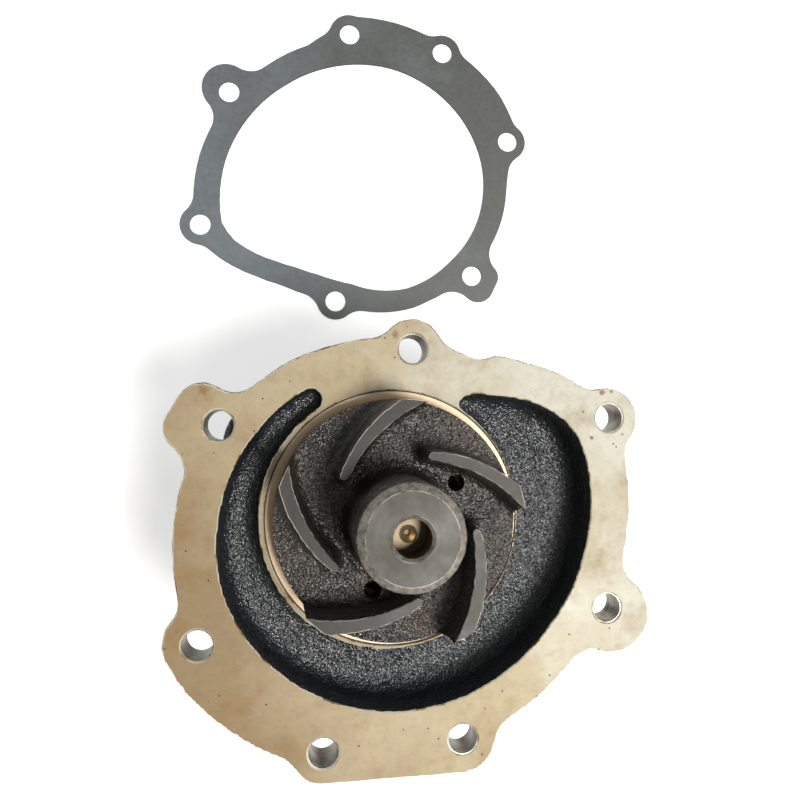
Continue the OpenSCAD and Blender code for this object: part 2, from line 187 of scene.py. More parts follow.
class PumpFinishes(bpy.types.PropertyGroup):
    """Colours of the finishes."""

    dip: colour("Black dip", "#1B1D1F", "Black dip on the sand-cast body")
    dip_high: colour("Black dip, high", "#34373A", "The dip where it is thin, on the grain's tops")
    face: colour("Milled face", "#C9C5B4", "Milled iron under a clear film of oil")
    face_tan: colour("Oiled face", "#9C8562", "Milled iron where the oil has yellowed")
    face_stain: colour("Stain", "#8A6434", "Dried oil at the edges")
    bore: colour("Bore", "#8F897E", "Drilled and bored iron")
    impeller_cast: colour("Impeller casting", "#2A2724", "Sand-cast iron, oiled dark")
    impeller_rust: colour("Impeller rust", "#4B3D31", "Brownish bloom on the impeller's casting")
    turned: colour("Turned iron", "#454138", "Turned faces of the impeller")
    worn: colour("Worn edge", "#D9D2C4", "Bright worn edges")
    gasket: colour("Gasket", "#70716D", "Coated sheet steel")
    gasket_blue: colour("Gasket, bluish", "#899195", "Where the coating is thin")
    steel: colour("Ground steel", "#A9A8A4", "Ground bearing steel")
    brass: colour("Brass", "#B89255", "Drawn brass")
    ceramic: colour("Ceramic", "#E9E5D8", "Lapped ceramic")
    oxide: colour("Black oxide", "#232426", "Black oxide on the drive hub")
    floor: colour("Floor", "#F7F6F4", "Studio floor")


def sizes():
    """The scene's sizes, with lengths in millimetres, in single precision as Blender keeps them."""
    group = bpy.context.scene.pump_sizes
    lengths = {name: round(getattr(group, name) / MM, 6) for name in group.__annotations__}
    found = {name: float(np.float32(length)) for name, length in lengths.items()}
    found["blade_draft"] = math.radians(round(math.degrees(group.blade_draft), 4))
    return SimpleNamespace(**found)


def finishes():
    return bpy.context.scene.pump_finishes


# ---- mesh tools ----


def new_object(name, mesh):
    """An object in the scene for that mesh."""
    made = bpy.data.objects.new(name, mesh)
    bpy.context.scene.collection.objects.link(made)
    return made


def from_lists(name, points, faces):
    """A closed mesh from points and faces, welded and with its faces turned outwards."""
    mesh = bpy.data.meshes.new(name)
    mesh.from_pydata([tuple(p) for p in points], [], faces)
    made = new_object(name, mesh)
    tidy(made, 1e-4)
    return made


def tidy(obj, weld):
    """Welds points nearer than that and turns all faces outwards."""
    bm = bmesh.new()
    bm.from_mesh(obj.data)
    bmesh.ops.remove_doubles(bm, verts=bm.verts, dist=weld)
    bmesh.ops.recalc_face_normals(bm, faces=bm.faces)
    bm.to_mesh(obj.data)
    bm.free()


def bake(obj):
    """Applies the object's modifiers to its mesh."""
    evaluated = obj.evaluated_get(bpy.context.evaluated_depsgraph_get())
    mesh = bpy.data.meshes.new_from_object(evaluated)
    obj.modifiers.clear()
    old = obj.data
    obj.data = mesh
    bpy.data.meshes.remove(old)


def remove(obj):
    """Deletes an object and its mesh."""
    mesh = obj.data
    bpy.data.objects.remove(obj)
    bpy.data.meshes.remove(mesh)


def joined(name, parts):
    """One object from several, whose shells may overlap."""
    bm = bmesh.new()
    for part in parts:
        bm.from_mesh(part.data)
        remove(part)
    mesh = bpy.data.meshes.new(name)
    bm.to_mesh(mesh)
    bm.free()
    return new_object(name, mesh)


def cut(obj, cutters):
    """Takes the cutters, which don't overlap each other, out of the object."""
    tool = joined(f"{obj.name}_cutter", cutters)
    before = len(obj.data.vertices)
    step = obj.modifiers.new("cut", "BOOLEAN")
    step.object = tool
    step.operation = "DIFFERENCE"
    step.solver = "MANIFOLD"
    bake(obj)
    remove(tool)
    if len(obj.data.vertices) in (0, before):
        raise RuntimeError(f"{obj.name}: a cut changed nothing, so one of its meshes isn't closed")


def turned(name, profile, steps=96, at=(0, 0)):
    """A solid turned round a vertical axis from a closed profile of (radius, height) points."""
    n = len(profile)
    angles = [math.tau * i / steps for i in range(steps)]
    points = [
        (at[0] + r * math.cos(a), at[1] + r * math.sin(a), z) for a in angles for r, z in profile
    ]
    faces = []
    for i, k in itertools.product(range(steps), range(n)):
        j, m = (i + 1) % steps, (k + 1) % n
        faces.append((i * n + k, j * n + k, j * n + m, i * n + m))
    return from_lists(name, points, faces)


def eased(profile, radius, steps=3):
    """A closed profile with its corners rounded, except those on the axis."""
    out = []
    for i, point in enumerate(profile):
        corner = Vector(point)
        back = Vector(profile[i - 1]) - corner
        on = Vector(profile[(i + 1) % len(profile)]) - corner
        reach = min(radius, back.length * 0.45, on.length * 0.45)
        if corner.x < 1e-6 or reach < 1e-4:
            out.append(tuple(corner))
            continue
        start, end = corner + back.normalized() * reach, corner + on.normalized() * reach
        for s in range(steps + 1):
            t = s / steps
            out.append(tuple(start * (1 - t) ** 2 + corner * 2 * t * (1 - t) + end * t * t))
    return out


def cad_copy(name, node, weld=1e-3):
    """A copy of a CAD node's mesh in millimetres, welded closed."""
    mesh = frame["nodes"][node].data.copy()
    mesh.transform(Matrix.Scale(1 / MM, 4))
    mesh.materials.clear()
    if mesh.has_custom_normals:
        mesh.normals_split_custom_set([(0, 0, 0)] * len(mesh.loops))
    made = new_object(name, mesh)
    tidy(made, weld)
    return made


def remesh(obj, voxel, smoothing):
    """Turns overlapping shells into one skin of even cells, with corners as soft as a casting's."""
    step = obj.modifiers.new("remesh", "REMESH")
    step.mode = "VOXEL"
    step.voxel_size = voxel
    step = obj.modifiers.new("smooth", "SMOOTH")
    step.factor = 0.5
    step.iterations = smoothing
    bake(obj)


def triples(items, name):
    """One three-number value of each vertex or face."""
    found = np.empty(len(items) * 3, np.float32)
    items.foreach_get(name, found)
    return found.reshape(-1, 3).astype(float)


def out_from_axis(points):
    """Each point's distance from the shaft's axis."""
    return np.hypot(points[:, 0], points[:, 1])


def set_points(mesh, co):
    mesh.vertices.foreach_set("co", co.astype(np.float32).ravel())
    mesh.update()


def grain(points, width, seed):
    """Smooth random heights from -1 to 1, with lumps about that wide."""
    p = points / width + seed * 7.31
    cell = np.floor(p).astype(np.int64)
    f = p - cell
    f = f * f * (3 - 2 * f)
    total = np.zeros(len(points))
    for corner in itertools.product((0, 1), repeat=3):
        at = cell + np.array(corner)
        h = (at[:, 0] * 73856093) ^ (at[:, 1] * 19349663) ^ (at[:, 2] * 83492791) ^ (seed * 40503)
        h = ((h ^ (h >> 13)) * 1274126177) & 0x7FFFFFFF
        value = ((h ^ (h >> 15)) & 0xFFFF) / 32767.5 - 1
        weight = np.ones(len(points))
        for axis in range(3):
            weight *= f[:, axis] if corner[axis] else 1 - f[:, axis]
        total += weight * value
    return total


def roughen(obj, layers):
    """Moves the skin in and out by layers of (lump width, height)."""
    co = triples(obj.data.vertices, "co")
    move = sum(height * grain(co, width, seed) for seed, (width, height) in enumerate(layers, 3))
    set_points(obj.data, co + triples(obj.data.vertices, "normal") * move[:, None])


def paint(obj, materials, rules):
    """Gives the faces their materials.

    Each rule is (index, test of centres and normals); later rules win.
    """
    mesh = obj.data
    mesh.materials.clear()
    for material in materials:
        mesh.materials.append(material)
    centre, normal = triples(mesh.polygons, "center"), triples(mesh.polygons, "normal")
    index = np.zeros(len(mesh.polygons), np.int32)
    for number, test in rules:
        index[test(centre, normal)] = number
    mesh.polygons.foreach_set("material_index", index)
    mesh.update()


def break_edges(obj, number, band_number, width):
    """Breaks the edges of the flat top faces of one material with a narrow sloping band of another.

    Where a face is narrow, the band is narrower too, so its two sides never meet.
    """
    bm = bmesh.new()
    bm.from_mesh(obj.data)
    flat = [f for f in bm.faces if f.material_index == number and f.normal.z > LEVEL]
    rims = dict.fromkeys(v for f in flat for v in f.verts)
    bmesh.ops.remove_doubles(bm, verts=list(rims), dist=width * 0.3)
    flat = [f for f in bm.faces if f.material_index == number and f.normal.z > LEVEL]
    band = bmesh.ops.inset_region(bm, faces=flat, thickness=0, use_boundary=True)["faces"]
    inner = dict.fromkeys(v for f in flat for v in f.verts)
    inwards = {v: Vector((0, 0)) for v in inner}
    rim_edges = [e for f in band for e in f.edges if e.verts[0] in inner and e.verts[1] in inner]
    for edge in rim_edges:
        loop = next(
            k for k in edge.link_loops if k.face not in band and k.face.normal.z > LEVEL
        )
        along = (loop.link_loop_next.vert.co - loop.vert.co).xy
        across = Vector((-along.y, along.x)).normalized()
        for v in edge.verts:
            inwards[v] += across
    rim = [v for v in inner if inwards[v].length > 1e-3]
    tree = KDTree(len(rim))
    for i, v in enumerate(rim):
        tree.insert(v.co, i)
    tree.balance()
    moves = []
    for v in rim:
        across = inwards[v].normalized()
        gaps = [
            distance
            for place, _, distance in tree.find_range(v.co, width * 3)
            if (place - v.co).xy.dot(across) > distance * 0.5 > 1e-4
        ]
        moves.append(across * min([width] + [gap * 0.3 for gap in gaps]))
    for v, move in zip(rim, moves):
        v.co.x += move.x
        v.co.y += move.y
    low = dict.fromkeys(v for f in band for v in f.verts if v not in inner)
    for v in low:
        v.co.z -= width
    for f in band:
        f.material_index = band_number
    bmesh.ops.delete(bm, geom=flat, context="FACES_KEEP_BOUNDARY")
    rim_edges = [e for e in dict.fromkeys(rim_edges) if e.is_valid]
    filled = bmesh.ops.triangle_fill(bm, use_beauty=True, edges=rim_edges, normal=(0, 0, 1))
    for f in filled["geom"]:
        if isinstance(f, bmesh.types.BMFace):
            f.material_index = number
            if f.normal.z < 0:
                f.normal_flip()
    bm.to_mesh(obj.data)
    bm.free()


def drop_doubled(mesh):
    """Welds points that coincide, drops triangles on the same three points and fills the gaps."""
    bm = bmesh.new()
    bm.from_mesh(mesh)
    bmesh.ops.triangulate(bm, faces=bm.faces)
    for _ in range(2):
        bmesh.ops.remove_doubles(bm, verts=bm.verts, dist=COINCIDENT)
        bm.verts.index_update()
        groups = {}
        for face in bm.faces:
            a, b, c = (v.index for v in face.verts)
            turn = (a < b) + (b < c) + (c < a) == 2
            groups.setdefault(frozenset((a, b, c)), ([], []))[turn].append(face)
        doubled = []
        for one, other in groups.values():
            pairs = min(len(one), len(other))
            doubled += one[:pairs] + other[:pairs] + one[pairs + 1 :] + other[pairs + 1 :]
        bmesh.ops.delete(bm, geom=doubled, context="FACES")
    crowded = [e for e in bm.edges if len(e.link_faces) == 3]
    extra = dict.fromkeys(min(e.link_faces, key=lambda f: f.calc_area()) for e in crowded)
    bmesh.ops.delete(bm, geom=list(extra), context="FACES")
    bmesh.ops.holes_fill(bm, edges=[e for e in bm.edges if e.is_boundary], sides=4)
    bmesh.ops.delete(bm, geom=[v for v in bm.verts if not v.link_faces], context="VERTS")
    bm.to_mesh(mesh)
    bm.free()


def finish(obj, body, nodes, sharp=SHARP_ANGLE):
    """Keeps a piece in the CAD box, brings it to metres, shades it, hangs it on its body and hides
    the CAD nodes it stands for.
    """
    drop_doubled(obj.data)
    low, high = (np.array(corner) / MM for corner in CAD_BOUNDS)
    set_points(obj.data, np.clip(triples(obj.data.vertices, "co"), low, high))
    obj.data.transform(Matrix.Scale(MM, 4))
    obj.data.shade_smooth()
    obj.data.set_sharp_from_angle(angle=math.radians(sharp))
    level = np.abs(triples(obj.data.polygons, "normal")[:, 2]) > 0.9999
    obj.data.polygons.foreach_set("use_smooth", ~level)
    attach(obj, body)
    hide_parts(*nodes)


def bevelled(name, node, body, material, width=0.15):
    """A CAD node's own shape with its sharp edges rounded."""
    made = cad_copy(name, node)
    bm = bmesh.new()
    bm.from_mesh(made.data)
    bmesh.ops.dissolve_limit(bm, angle_limit=math.radians(0.6), verts=bm.verts, edges=bm.edges)
    bm.to_mesh(made.data)
    bm.free()
    step = made.modifiers.new("edge", "BEVEL")
    step.width = width
    step.segments = 2
    step.limit_method = "ANGLE"
    step.angle_limit = math.radians(35)
    bake(made)
    made.data.materials.clear()
    made.data.materials.append(material)
    finish(made, body, [node], sharp=24)


# ---- material tools ----

NOISE_SPAN = {"From_Min": 0.3, "From_Max": 0.7}


def rgba(shade):
    """A socket's colour from a hex colour, a grey level or red, green, blue."""
    if isinstance(shade, str):
        shade = linear(shade)
    elif isinstance(shade, (int, float)):
        shade = [shade] * 3
    return (*shade, 1.0)


def add_node(tree, kind, *values, stops=(), **named):
    """Adds a node and returns its first output.

    Values without a name fill its inputs in order. Names with a capital are inputs, the others are
    the node's settings. A value may be another node's output. stops are a ramp's (place, colour).
    """
    made = tree.nodes.new("ShaderNode" + kind)
    inputs = {name: value for name, value in named.items() if name[0].isupper()}
    for name, value in named.items():
        if name not in inputs:
            setattr(made, name, value)
    if stops:
        ramp = made.color_ramp.elements
        while len(ramp) < len(stops):
            ramp.new(0.5)
        for element, (place, shade) in zip(ramp, stops):
            element.position = place
            element.color = rgba(shade)
    wanted = list(zip([socket for socket in made.inputs if socket.enabled], values))
    wanted += [(made.inputs[name.replace("_", " ")], value) for name, value in inputs.items()]
    for socket, value in wanted:
        if isinstance(value, bpy.types.NodeSocket):
            tree.links.new(value, socket)
        else:
            socket.default_value = value
    return next((socket for socket in made.outputs if socket.enabled), None)


def new_material(name):
    """An empty material, its add_node, and the place on the object that its patterns follow."""
    made = bpy.data.materials.new(name)
    made.use_nodes = True
    made.node_tree.nodes.clear()
    node = partial(add_node, made.node_tree)
    return made, node, node("TexCoord").node.outputs["Object"]


def surface(made, **values):
    """Ends a material with one Principled shader, given its plain numbers and patterns."""
    shader = add_node(made.node_tree, "BsdfPrincipled", **values)
    add_node(made.node_tree, "OutputMaterial", Surface=shader)
    return made


def per_mm(width):
    """The scale of a pattern whose features are that many millimetres wide."""
    return 1 / (width * MM)


# ---- materials ----


def dipped_cast_iron():
    """Grey iron, sand cast and dipped in black paint: grain like coarse sand, shiny on its tops."""
    colours = finishes()
    made, node, where = new_material("dipped_cast_iron")
    # Foundry sand is about 0.3 mm; drawn at 0.72 mm, the finest that shows.
    sand = node("TexNoise", where, Scale=per_mm(0.72), Detail=1, Roughness=0.5)
    lumps = node("TexNoise", where, Scale=per_mm(1.6), Detail=1, Roughness=0.5)
    cloud = node("TexNoise", where, Scale=per_mm(30), Detail=3)
    high = node("ValToRGB", sand, stops=[(0.42, 0), (0.72, 1)])
    shade = node("Mix", high, rgba(colours.dip), rgba(colours.dip_high), data_type="RGBA")
    gloss = node("MapRange", cloud, **NOISE_SPAN, To_Min=0.22, To_Max=0.34)
    coarse = node("Bump", Height=lumps, Strength=1, Distance=0.6 * MM)
    fine = node("Bump", Height=sand, Strength=1, Distance=0.62 * MM, Normal=coarse)
    return surface(
        made,
        Base_Color=shade,
        Metallic=0,
        Roughness=gloss,
        IOR=1.5,
        Specular_IOR_Level=0.95,
        Normal=fine,
    )


# Chips, dents and stains on the mounting face: place and radius in millimetres, and colour.
FACE_MARKS = (
    ((68.2, 39.0), 1.3, "#7A3A22"),
    ((71.5, 39.3), 0.9, "#8E5A3C"),
    ((64.6, 24.4), 0.7, "#3A2E20"),
    ((61.8, 32.7), 0.5, "#5A4630"),
    ((75.0, 25.5), 0.6, "#6B5438"),
    ((-57.5, 39.0), 2.2, "#8A6A40"),
    ((0.7, 56.6), 1.6, "#85673F"),
    ((-30.0, 49.0), 0.6, "#4E3B25"),
    ((-66.0, -22.0), 0.8, "#76562F"),
    ((28.0, -74.0), 0.7, "#6A4E2C"),
)


def milled_oiled_iron():
    """Grey iron, face milled, under preservative oil: drawn yellower and darker towards -X and -Y,
    partly yellowed oil and partly painted shade.
    """
    colours = finishes()
    made, node, where = new_material("milled_oiled_iron")
    drift = node("TexNoise", where, Scale=per_mm(38), Detail=4, Roughness=0.55)
    # Partly painted shade: the face is drawn yellower and darker towards -X and -Y, partly yellowed
    # oil and partly less light on that side.
    lean = node("VectorMath", where, (-4.6, -2.3, 0), operation="DOT_PRODUCT")
    oil_and_painted_shade = node("Math", drift, lean, operation="ADD")
    oil = node(
        "ValToRGB", oil_and_painted_shade, stops=[(0.12, colours.face), (0.42, "#BBAB8A"), (0.9, colours.face_tan)]
    )
    mottle = node("TexNoise", where, Scale=per_mm(2.2), Detail=5, Roughness=0.75)
    mottled = node("ValToRGB", mottle, stops=[(0.3, 0.72), (0.5, 0.95), (0.75, 1)])
    toned = node("Mix", 0.6, oil, mottled, data_type="RGBA", blend_type="MULTIPLY")
    blots = node("TexNoise", where, Scale=per_mm(13), Detail=6, Roughness=0.7)
    blotted = node("ValToRGB", blots, stops=[(0.5, 0), (0.78, 0.62)])
    stained = node("Mix", blotted, toned, rgba(colours.face_stain), data_type="RGBA")
    cells = node("TexVoronoi", where, Scale=per_mm(4.5), Randomness=1)
    pit = node("ValToRGB", cells, stops=[(0.035, 1), (0.075, 0)])
    marked = node("Mix", pit, stained, rgba("#4A3D2C"), data_type="RGBA")
    for (x, y), radius, shade in FACE_MARKS:
        centre = [c * MM for c in (x, y, FACE_Z)]
        away = node("VectorMath", where, centre, operation="DISTANCE")
        ragged = node("Math", mottle, radius * 1.6 * MM, away, operation="MULTIPLY_ADD")
        span = {"From_Min": radius * 1.25 * MM, "From_Max": radius * 1.7 * MM}
        inside = node("MapRange", ragged, **span, To_Min=0.75, To_Max=0)
        marked = node("Mix", inside, marked, rgba(shade), data_type="RGBA")
    gloss = node("MapRange", drift, **NOISE_SPAN, To_Min=0.5, To_Max=0.66)
    sunk = node("Bump", Height=pit, Strength=1, Distance=0.12 * MM, invert=True)
    # Feed marks of a face mill are about 0.3 mm apart; drawn far wider, to show at all.
    feed = node(
        "TexWave",
        where,
        Scale=per_mm(7.5),
        Distortion=0.4,
        wave_type="RINGS",
        rings_direction="SPHERICAL",
    ).node.outputs["Fac"]
    milled = node("Bump", Height=feed, Strength=0.25, Distance=0.02 * MM, Normal=sunk)
    skin = node("Bump", Height=mottle, Strength=0.5, Distance=0.05 * MM, Normal=milled)
    return surface(
        made,
        Base_Color=marked,
        Metallic=0.12,
        Roughness=gloss,
        Specular_IOR_Level=0.45,
        Normal=skin,
    )


def oil_stained_edge():
    """Milled iron at a broken edge, where the oil dries to a brown line."""
    made, node, where = new_material("oil_stained_edge")
    drift = node("TexNoise", where, Scale=per_mm(9), Detail=5, Roughness=0.7)
    shade = node("ValToRGB", drift, stops=[(0.32, "#5E4122"), (0.42, "#A08555"), (0.5, "#DCD2BA")])
    return surface(made, Base_Color=shade, Metallic=0.2, Roughness=0.45)


def recess_iron():
    """Turned iron round the impeller: oiled cream, darkened towards the impeller by painted shade,
    with a dark line in its corner.
    """
    made, node, where = new_material("recess_iron")
    flat = node("VectorMath", where, (1, 1, 0), operation="MULTIPLY")
    out = node("VectorMath", flat, operation="LENGTH")
    drift = node("TexNoise", where, Scale=per_mm(7), Detail=5, Roughness=0.7)
    # Painted shade: the cream is drawn darker towards the impeller, as in the shade under its
    # overhanging plate; the drift noise breaks the gradient up.
    painted_shade_spread = node("MapRange", out, From_Min=36 * MM, From_Max=39.4 * MM)
    shifted = node("Math", drift, 0.55, -0.27, operation="MULTIPLY_ADD")
    place = node("Math", painted_shade_spread, shifted, operation="ADD")
    creams_with_painted_shade = [(0, "#8A6A4C"), (0.25, "#CFAE88"), (0.6, "#E3C5A0"), (0.95, "#EBD6B4")]
    shade = node("ValToRGB", place, stops=creams_with_painted_shade)
    edge = sizes().recess_radius
    corner = node("MapRange", out, From_Min=(edge - 0.5) * MM, From_Max=(edge - 0.3) * MM)
    lined = node("Mix", corner, shade, rgba("#35200F"), data_type="RGBA")
    fine = node("TexNoise", where, Scale=per_mm(0.9), Detail=3, Roughness=0.7)
    gloss = node("MapRange", fine, **NOISE_SPAN, To_Min=0.34, To_Max=0.55)
    bump = node("Bump", Height=fine, Strength=0.6, Distance=0.08 * MM)
    return surface(made, Base_Color=lined, Metallic=0.25, Roughness=gloss, Normal=bump)


def bored_iron():
    """Drilled or bored iron: fine rings left by the tool, and a little brown oil."""
    made, node, where = new_material("bored_iron")
    # Feed rings are about 0.2 mm apart; drawn wider, to show.
    rings = node(
        "TexWave", where, Scale=per_mm(6), Distortion=1.2, Detail=2, bands_direction="Z"
    ).node.outputs["Fac"]
    drift = node("TexNoise", where, Scale=per_mm(5), Detail=5, Roughness=0.7)
    shade = node(
        "ValToRGB", drift, stops=[(0.3, "#5C4A36"), (0.5, finishes().bore), (0.75, "#B9B4A9")]
    )
    gloss = node("MapRange", rings, To_Min=0.35, To_Max=0.55)
    bump = node("Bump", Height=rings, Strength=0.6, Distance=0.05 * MM)
    return surface(made, Base_Color=shade, Metallic=0.55, Roughness=gloss, Normal=bump)


def impeller_cast_iron():
    """Grey iron, sand cast and oiled: dark, brownish in patches, with a glint on every grain."""
    colours = finishes()
    made, node, where = new_material("impeller_cast_iron")
    # As on the body, the sand's grain is drawn about twice as coarse as it is, to show.
    sand = node("TexNoise", where, Scale=per_mm(0.72), Detail=1, Roughness=0.5)
    lumps = node("TexNoise", where, Scale=per_mm(1.5), Detail=1)
    patches = node("TexNoise", where, Scale=per_mm(16), Detail=4, Roughness=0.6)
    brown = node("ValToRGB", patches, stops=[(0.42, 0), (0.68, 1)])
    iron, rust = rgba(colours.impeller_cast), rgba(colours.impeller_rust)
    shade = node("Mix", brown, iron, rust, data_type="RGBA")
    high = node("ValToRGB", sand, stops=[(0.35, 0.45), (0.7, 1)])
    toned = node("Mix", 1, shade, high, data_type="RGBA", blend_type="MULTIPLY")
    gloss = node("MapRange", patches, **NOISE_SPAN, To_Min=0.24, To_Max=0.4)
    coarse = node("Bump", Height=lumps, Strength=1, Distance=0.6 * MM)
    fine = node("Bump", Height=sand, Strength=1, Distance=0.62 * MM, Normal=coarse)
    return surface(
        made,
        Base_Color=toned,
        Metallic=0.15,
        Roughness=gloss,
        Specular_IOR_Level=0.9,
        Normal=fine,
    )


def turned_impeller_iron():
    """Turned iron, oiled: warm grey on the hub, and on the blades' tops darker by painted shade,
    with faint rings.
    """
    made, node, where = new_material("turned_impeller_iron")
    drift = node("TexNoise", where, Scale=per_mm(9), Detail=6, Roughness=0.65)
    flat = node("VectorMath", where, (1, 1, 0), operation="MULTIPLY")
    out = node("VectorMath", flat, operation="LENGTH")
    # Painted shade: the blades' tops are drawn darker all over than the hub's face; the drift noise
    # gives them patches of dark oil.
    painted_shade_on_blades = node("MapRange", out, From_Min=13.8 * MM, From_Max=15.5 * MM)
    even = node("ValToRGB", drift, stops=[(0.28, "#413E37"), (0.6, finishes().turned)])
    oiled = node("ValToRGB", drift, stops=[(0.3, "#211E1A"), (0.5, "#2F2C26"), (0.7, "#433F38")])
    shade = node("Mix", painted_shade_on_blades, even, oiled, data_type="RGBA")
    # Feed rings are about 0.2 mm apart; drawn wider, to show.
    rings = node(
        "TexWave",
        where,
        Scale=per_mm(7),
        Distortion=0.3,
        wave_type="RINGS",
        rings_direction="Z",
    ).node.outputs["Fac"]
    gloss = node("MapRange", drift, **NOISE_SPAN, To_Min=0.4, To_Max=0.58)
    bump = node("Bump", Height=rings, Strength=0.3, Distance=0.02 * MM)
    return surface(
        made,
        Base_Color=shade,
        Metallic=0.3,
        Roughness=gloss,
        Specular_IOR_Level=0.6,
        Normal=bump,
    )


def worn_iron_edge():
    """Iron rubbed bright along an edge, in places only."""
    made, node, where = new_material("worn_iron_edge")
    breaks = node("TexNoise", where, Scale=per_mm(3.5), Detail=4, Roughness=0.7)
    shade = node("ValToRGB", breaks, stops=[(0.4, "#6E685E"), (0.58, finishes().worn)])
    return surface(made, Base_Color=shade, Metallic=0.7, Roughness=0.32)


def hub_hole_iron():
    """Bored iron in the hub's end, browned by oil."""
    made, node, where = new_material("hub_hole_iron")
    drift = node("TexNoise", where, Scale=per_mm(2.5), Detail=5, Roughness=0.7)
    shade = node("ValToRGB", drift, stops=[(0.35, "#2E2418"), (0.65, "#6A563C")])
    bump = node("Bump", Height=drift, Strength=0.6, Distance=0.1 * MM)
    return surface(made, Base_Color=shade, Metallic=0.4, Roughness=0.45, Normal=bump)


def plain_finish(name, base, metallic, roughness, speck, width):
    """A smooth finish whose tone drifts over that width; speck is the darker tone's share."""
    made, node, where = new_material(name)
    drift = node("TexNoise", where, Scale=per_mm(width), Detail=6, Roughness=0.65)
    shade = node("ValToRGB", drift, stops=[(0.3, [c * speck for c in base]), (0.62, base)])
    gloss = node("MapRange", drift, **NOISE_SPAN, To_Min=roughness * 0.85, To_Max=roughness * 1.2)
    bump = node("Bump", Height=drift, Strength=0.4, Distance=0.03 * MM)
    return surface(made, Base_Color=shade, Metallic=metallic, Roughness=gloss, Normal=bump)


def coated_gasket_steel():
    """Rolled sheet steel with a dull grey coating: mottled, bluish in patches where it is thin, and
    drawn lighter and bluer towards -X.
    """
    colours = finishes()
    made, node, where = new_material("coated_gasket_steel")
    cloud = node("TexNoise", where, Scale=per_mm(34), Detail=4, Roughness=0.6)
    # The tone is drawn lighter and bluer towards -X.
    lean = node("VectorMath", where, (-4.5, 0, 0), operation="DOT_PRODUCT")
    place = node("Math", cloud, lean, operation="ADD")
    tone = node("ValToRGB", place, stops=[(0.35, colours.gasket), (0.95, colours.gasket_blue)])
    fine = node("TexNoise", where, Scale=per_mm(1.6), Detail=6, Roughness=0.75)
    speck = node("ValToRGB", fine, stops=[(0.32, 0.7), (0.55, 0.97), (0.75, 1)])
    shade = node("Mix", 0.7, tone, speck, data_type="RGBA", blend_type="MULTIPLY")
    gloss = node("MapRange", fine, **NOISE_SPAN, To_Min=0.45, To_Max=0.62)
    bump = node("Bump", Height=fine, Strength=0.5, Distance=0.04 * MM)
    return surface(made, Base_Color=shade, Metallic=0.45, Roughness=gloss, Normal=bump)


# ---- the casting ----


def plug(x, y, radius, low, high):
    """A round bar that fills a hole before the skin is made."""
    return turned("plug", [(0, low), (radius, low), (radius, high), (0, high)], steps=32, at=(x, y))


def casting_stock():
    """The casting before it is machined: holes and bores filled, with stock on its faces."""
    s = sizes()
    parts = [cad_copy("pump_casting", "pump_body")]
    flange_low = FACE_Z - s.flange_depth
    for place, dims in FLANGE_HOLES:
        low = FACE_Z - max(dims["length_mm"], s.flange_depth)
        parts.append(plug(place.x, place.y, dims["r_mm"] + 1.5, low + 0.02, FACE_Z - 0.02))
    lug, dims = mount("side_lug_hole")
    half = dims["length_mm"] / 2
    parts.append(plug(lug.x, lug.y, dims["r_mm"] + 1.5, lug.z - half + 0.02, lug.z + half - 0.02))
    parts.append(plug(0, 0, RACE_HIGH.x + 3.5, BODY_LOW.z + 0.02, flange_low))
    parts.append(plug(0, 0, s.recess_radius + 0.1, FACE_Z - 12, FACE_Z - 0.02))
    made = joined("pump_casting", parts)
    remesh(made, s.casting_voxel, 3)
    return made


def refine(obj, wanted):
    """Splits the faces of one part of the skin into four, for finer detail."""
    bm = bmesh.new()
    bm.from_mesh(obj.data)
    chosen = [f for f in bm.faces if wanted(f.calc_center_median(), f.normal)]
    edges = list(dict.fromkeys(e for f in chosen for e in f.edges))
    bmesh.ops.subdivide_edges(bm, edges=edges, cuts=1, use_grid_fill=True, smooth=0.0)
    bm.to_mesh(obj.data)
    bm.free()


def casting():
    """Cast, then faced at both ends, drilled and bored."""
    s = sizes()
    made = casting_stock()
    foot_z = BODY_LOW.z
    skin, stretch = 2.2, 0.8
    co = triples(made.data.vertices, "co")
    top = co[:, 2] > FACE_Z - skin
    co[top, 2] += (co[top, 2] - (FACE_Z - skin)) * stretch
    foot = co[:, 2] < foot_z + skin
    co[foot, 2] -= (foot_z + skin - co[foot, 2]) * stretch
    set_points(made.data, co)

    def in_channel(p, n):
        reach = math.hypot(p.x + s.core_shift, p.y)
        deep = FACE_Z - s.channel_depth - 1
        return 38 < reach < s.channel_reach and deep < p.z < FACE_Z + 0.4 and n.z > -0.4

    refine(made, in_channel)
    roughen(made, [(7.0, 0.08), (2.6, 0.1), (1.4, 0.1)])
    cut(made, [slab(FACE_Z, FACE_Z + 12), slab(foot_z - 12, foot_z)])
    cut(made, [hole_cutter(*hole) for hole in FLANGE_HOLES] + [lug_cutter(), bore_cutter()])
    cut(made, [weep_cutter(side) for side in (-1, 1)])
    paint_casting(made)
    break_edges(made, 1, 2, s.edge_break)
    finish(made, "housing", ["pump_body"])


def slab(low, high):
    """What a face mill takes off, wider than the flange."""
    return turned("slab", [(0, low), (200, low), (200, high), (0, high)], steps=24)


def hole_cutter(place, dims):
    """A drill with a countersink for the face and a spot-facer for the flange's back."""
    r = dims["r_mm"]
    low = FACE_Z - dims["length_mm"]
    spot = r + 3.6
    profile = [
        (0, low - 8),
        (spot, low - 8),
        (spot, low + 0.25),
        (r, low + 0.25),
        (r, FACE_Z - 0.35),
        (r + 1.35, FACE_Z + 1),
        (r + 1.35, FACE_Z + 6),
        (0, FACE_Z + 6),
    ]
    return turned("drill", profile, steps=64, at=(place.x, place.y))


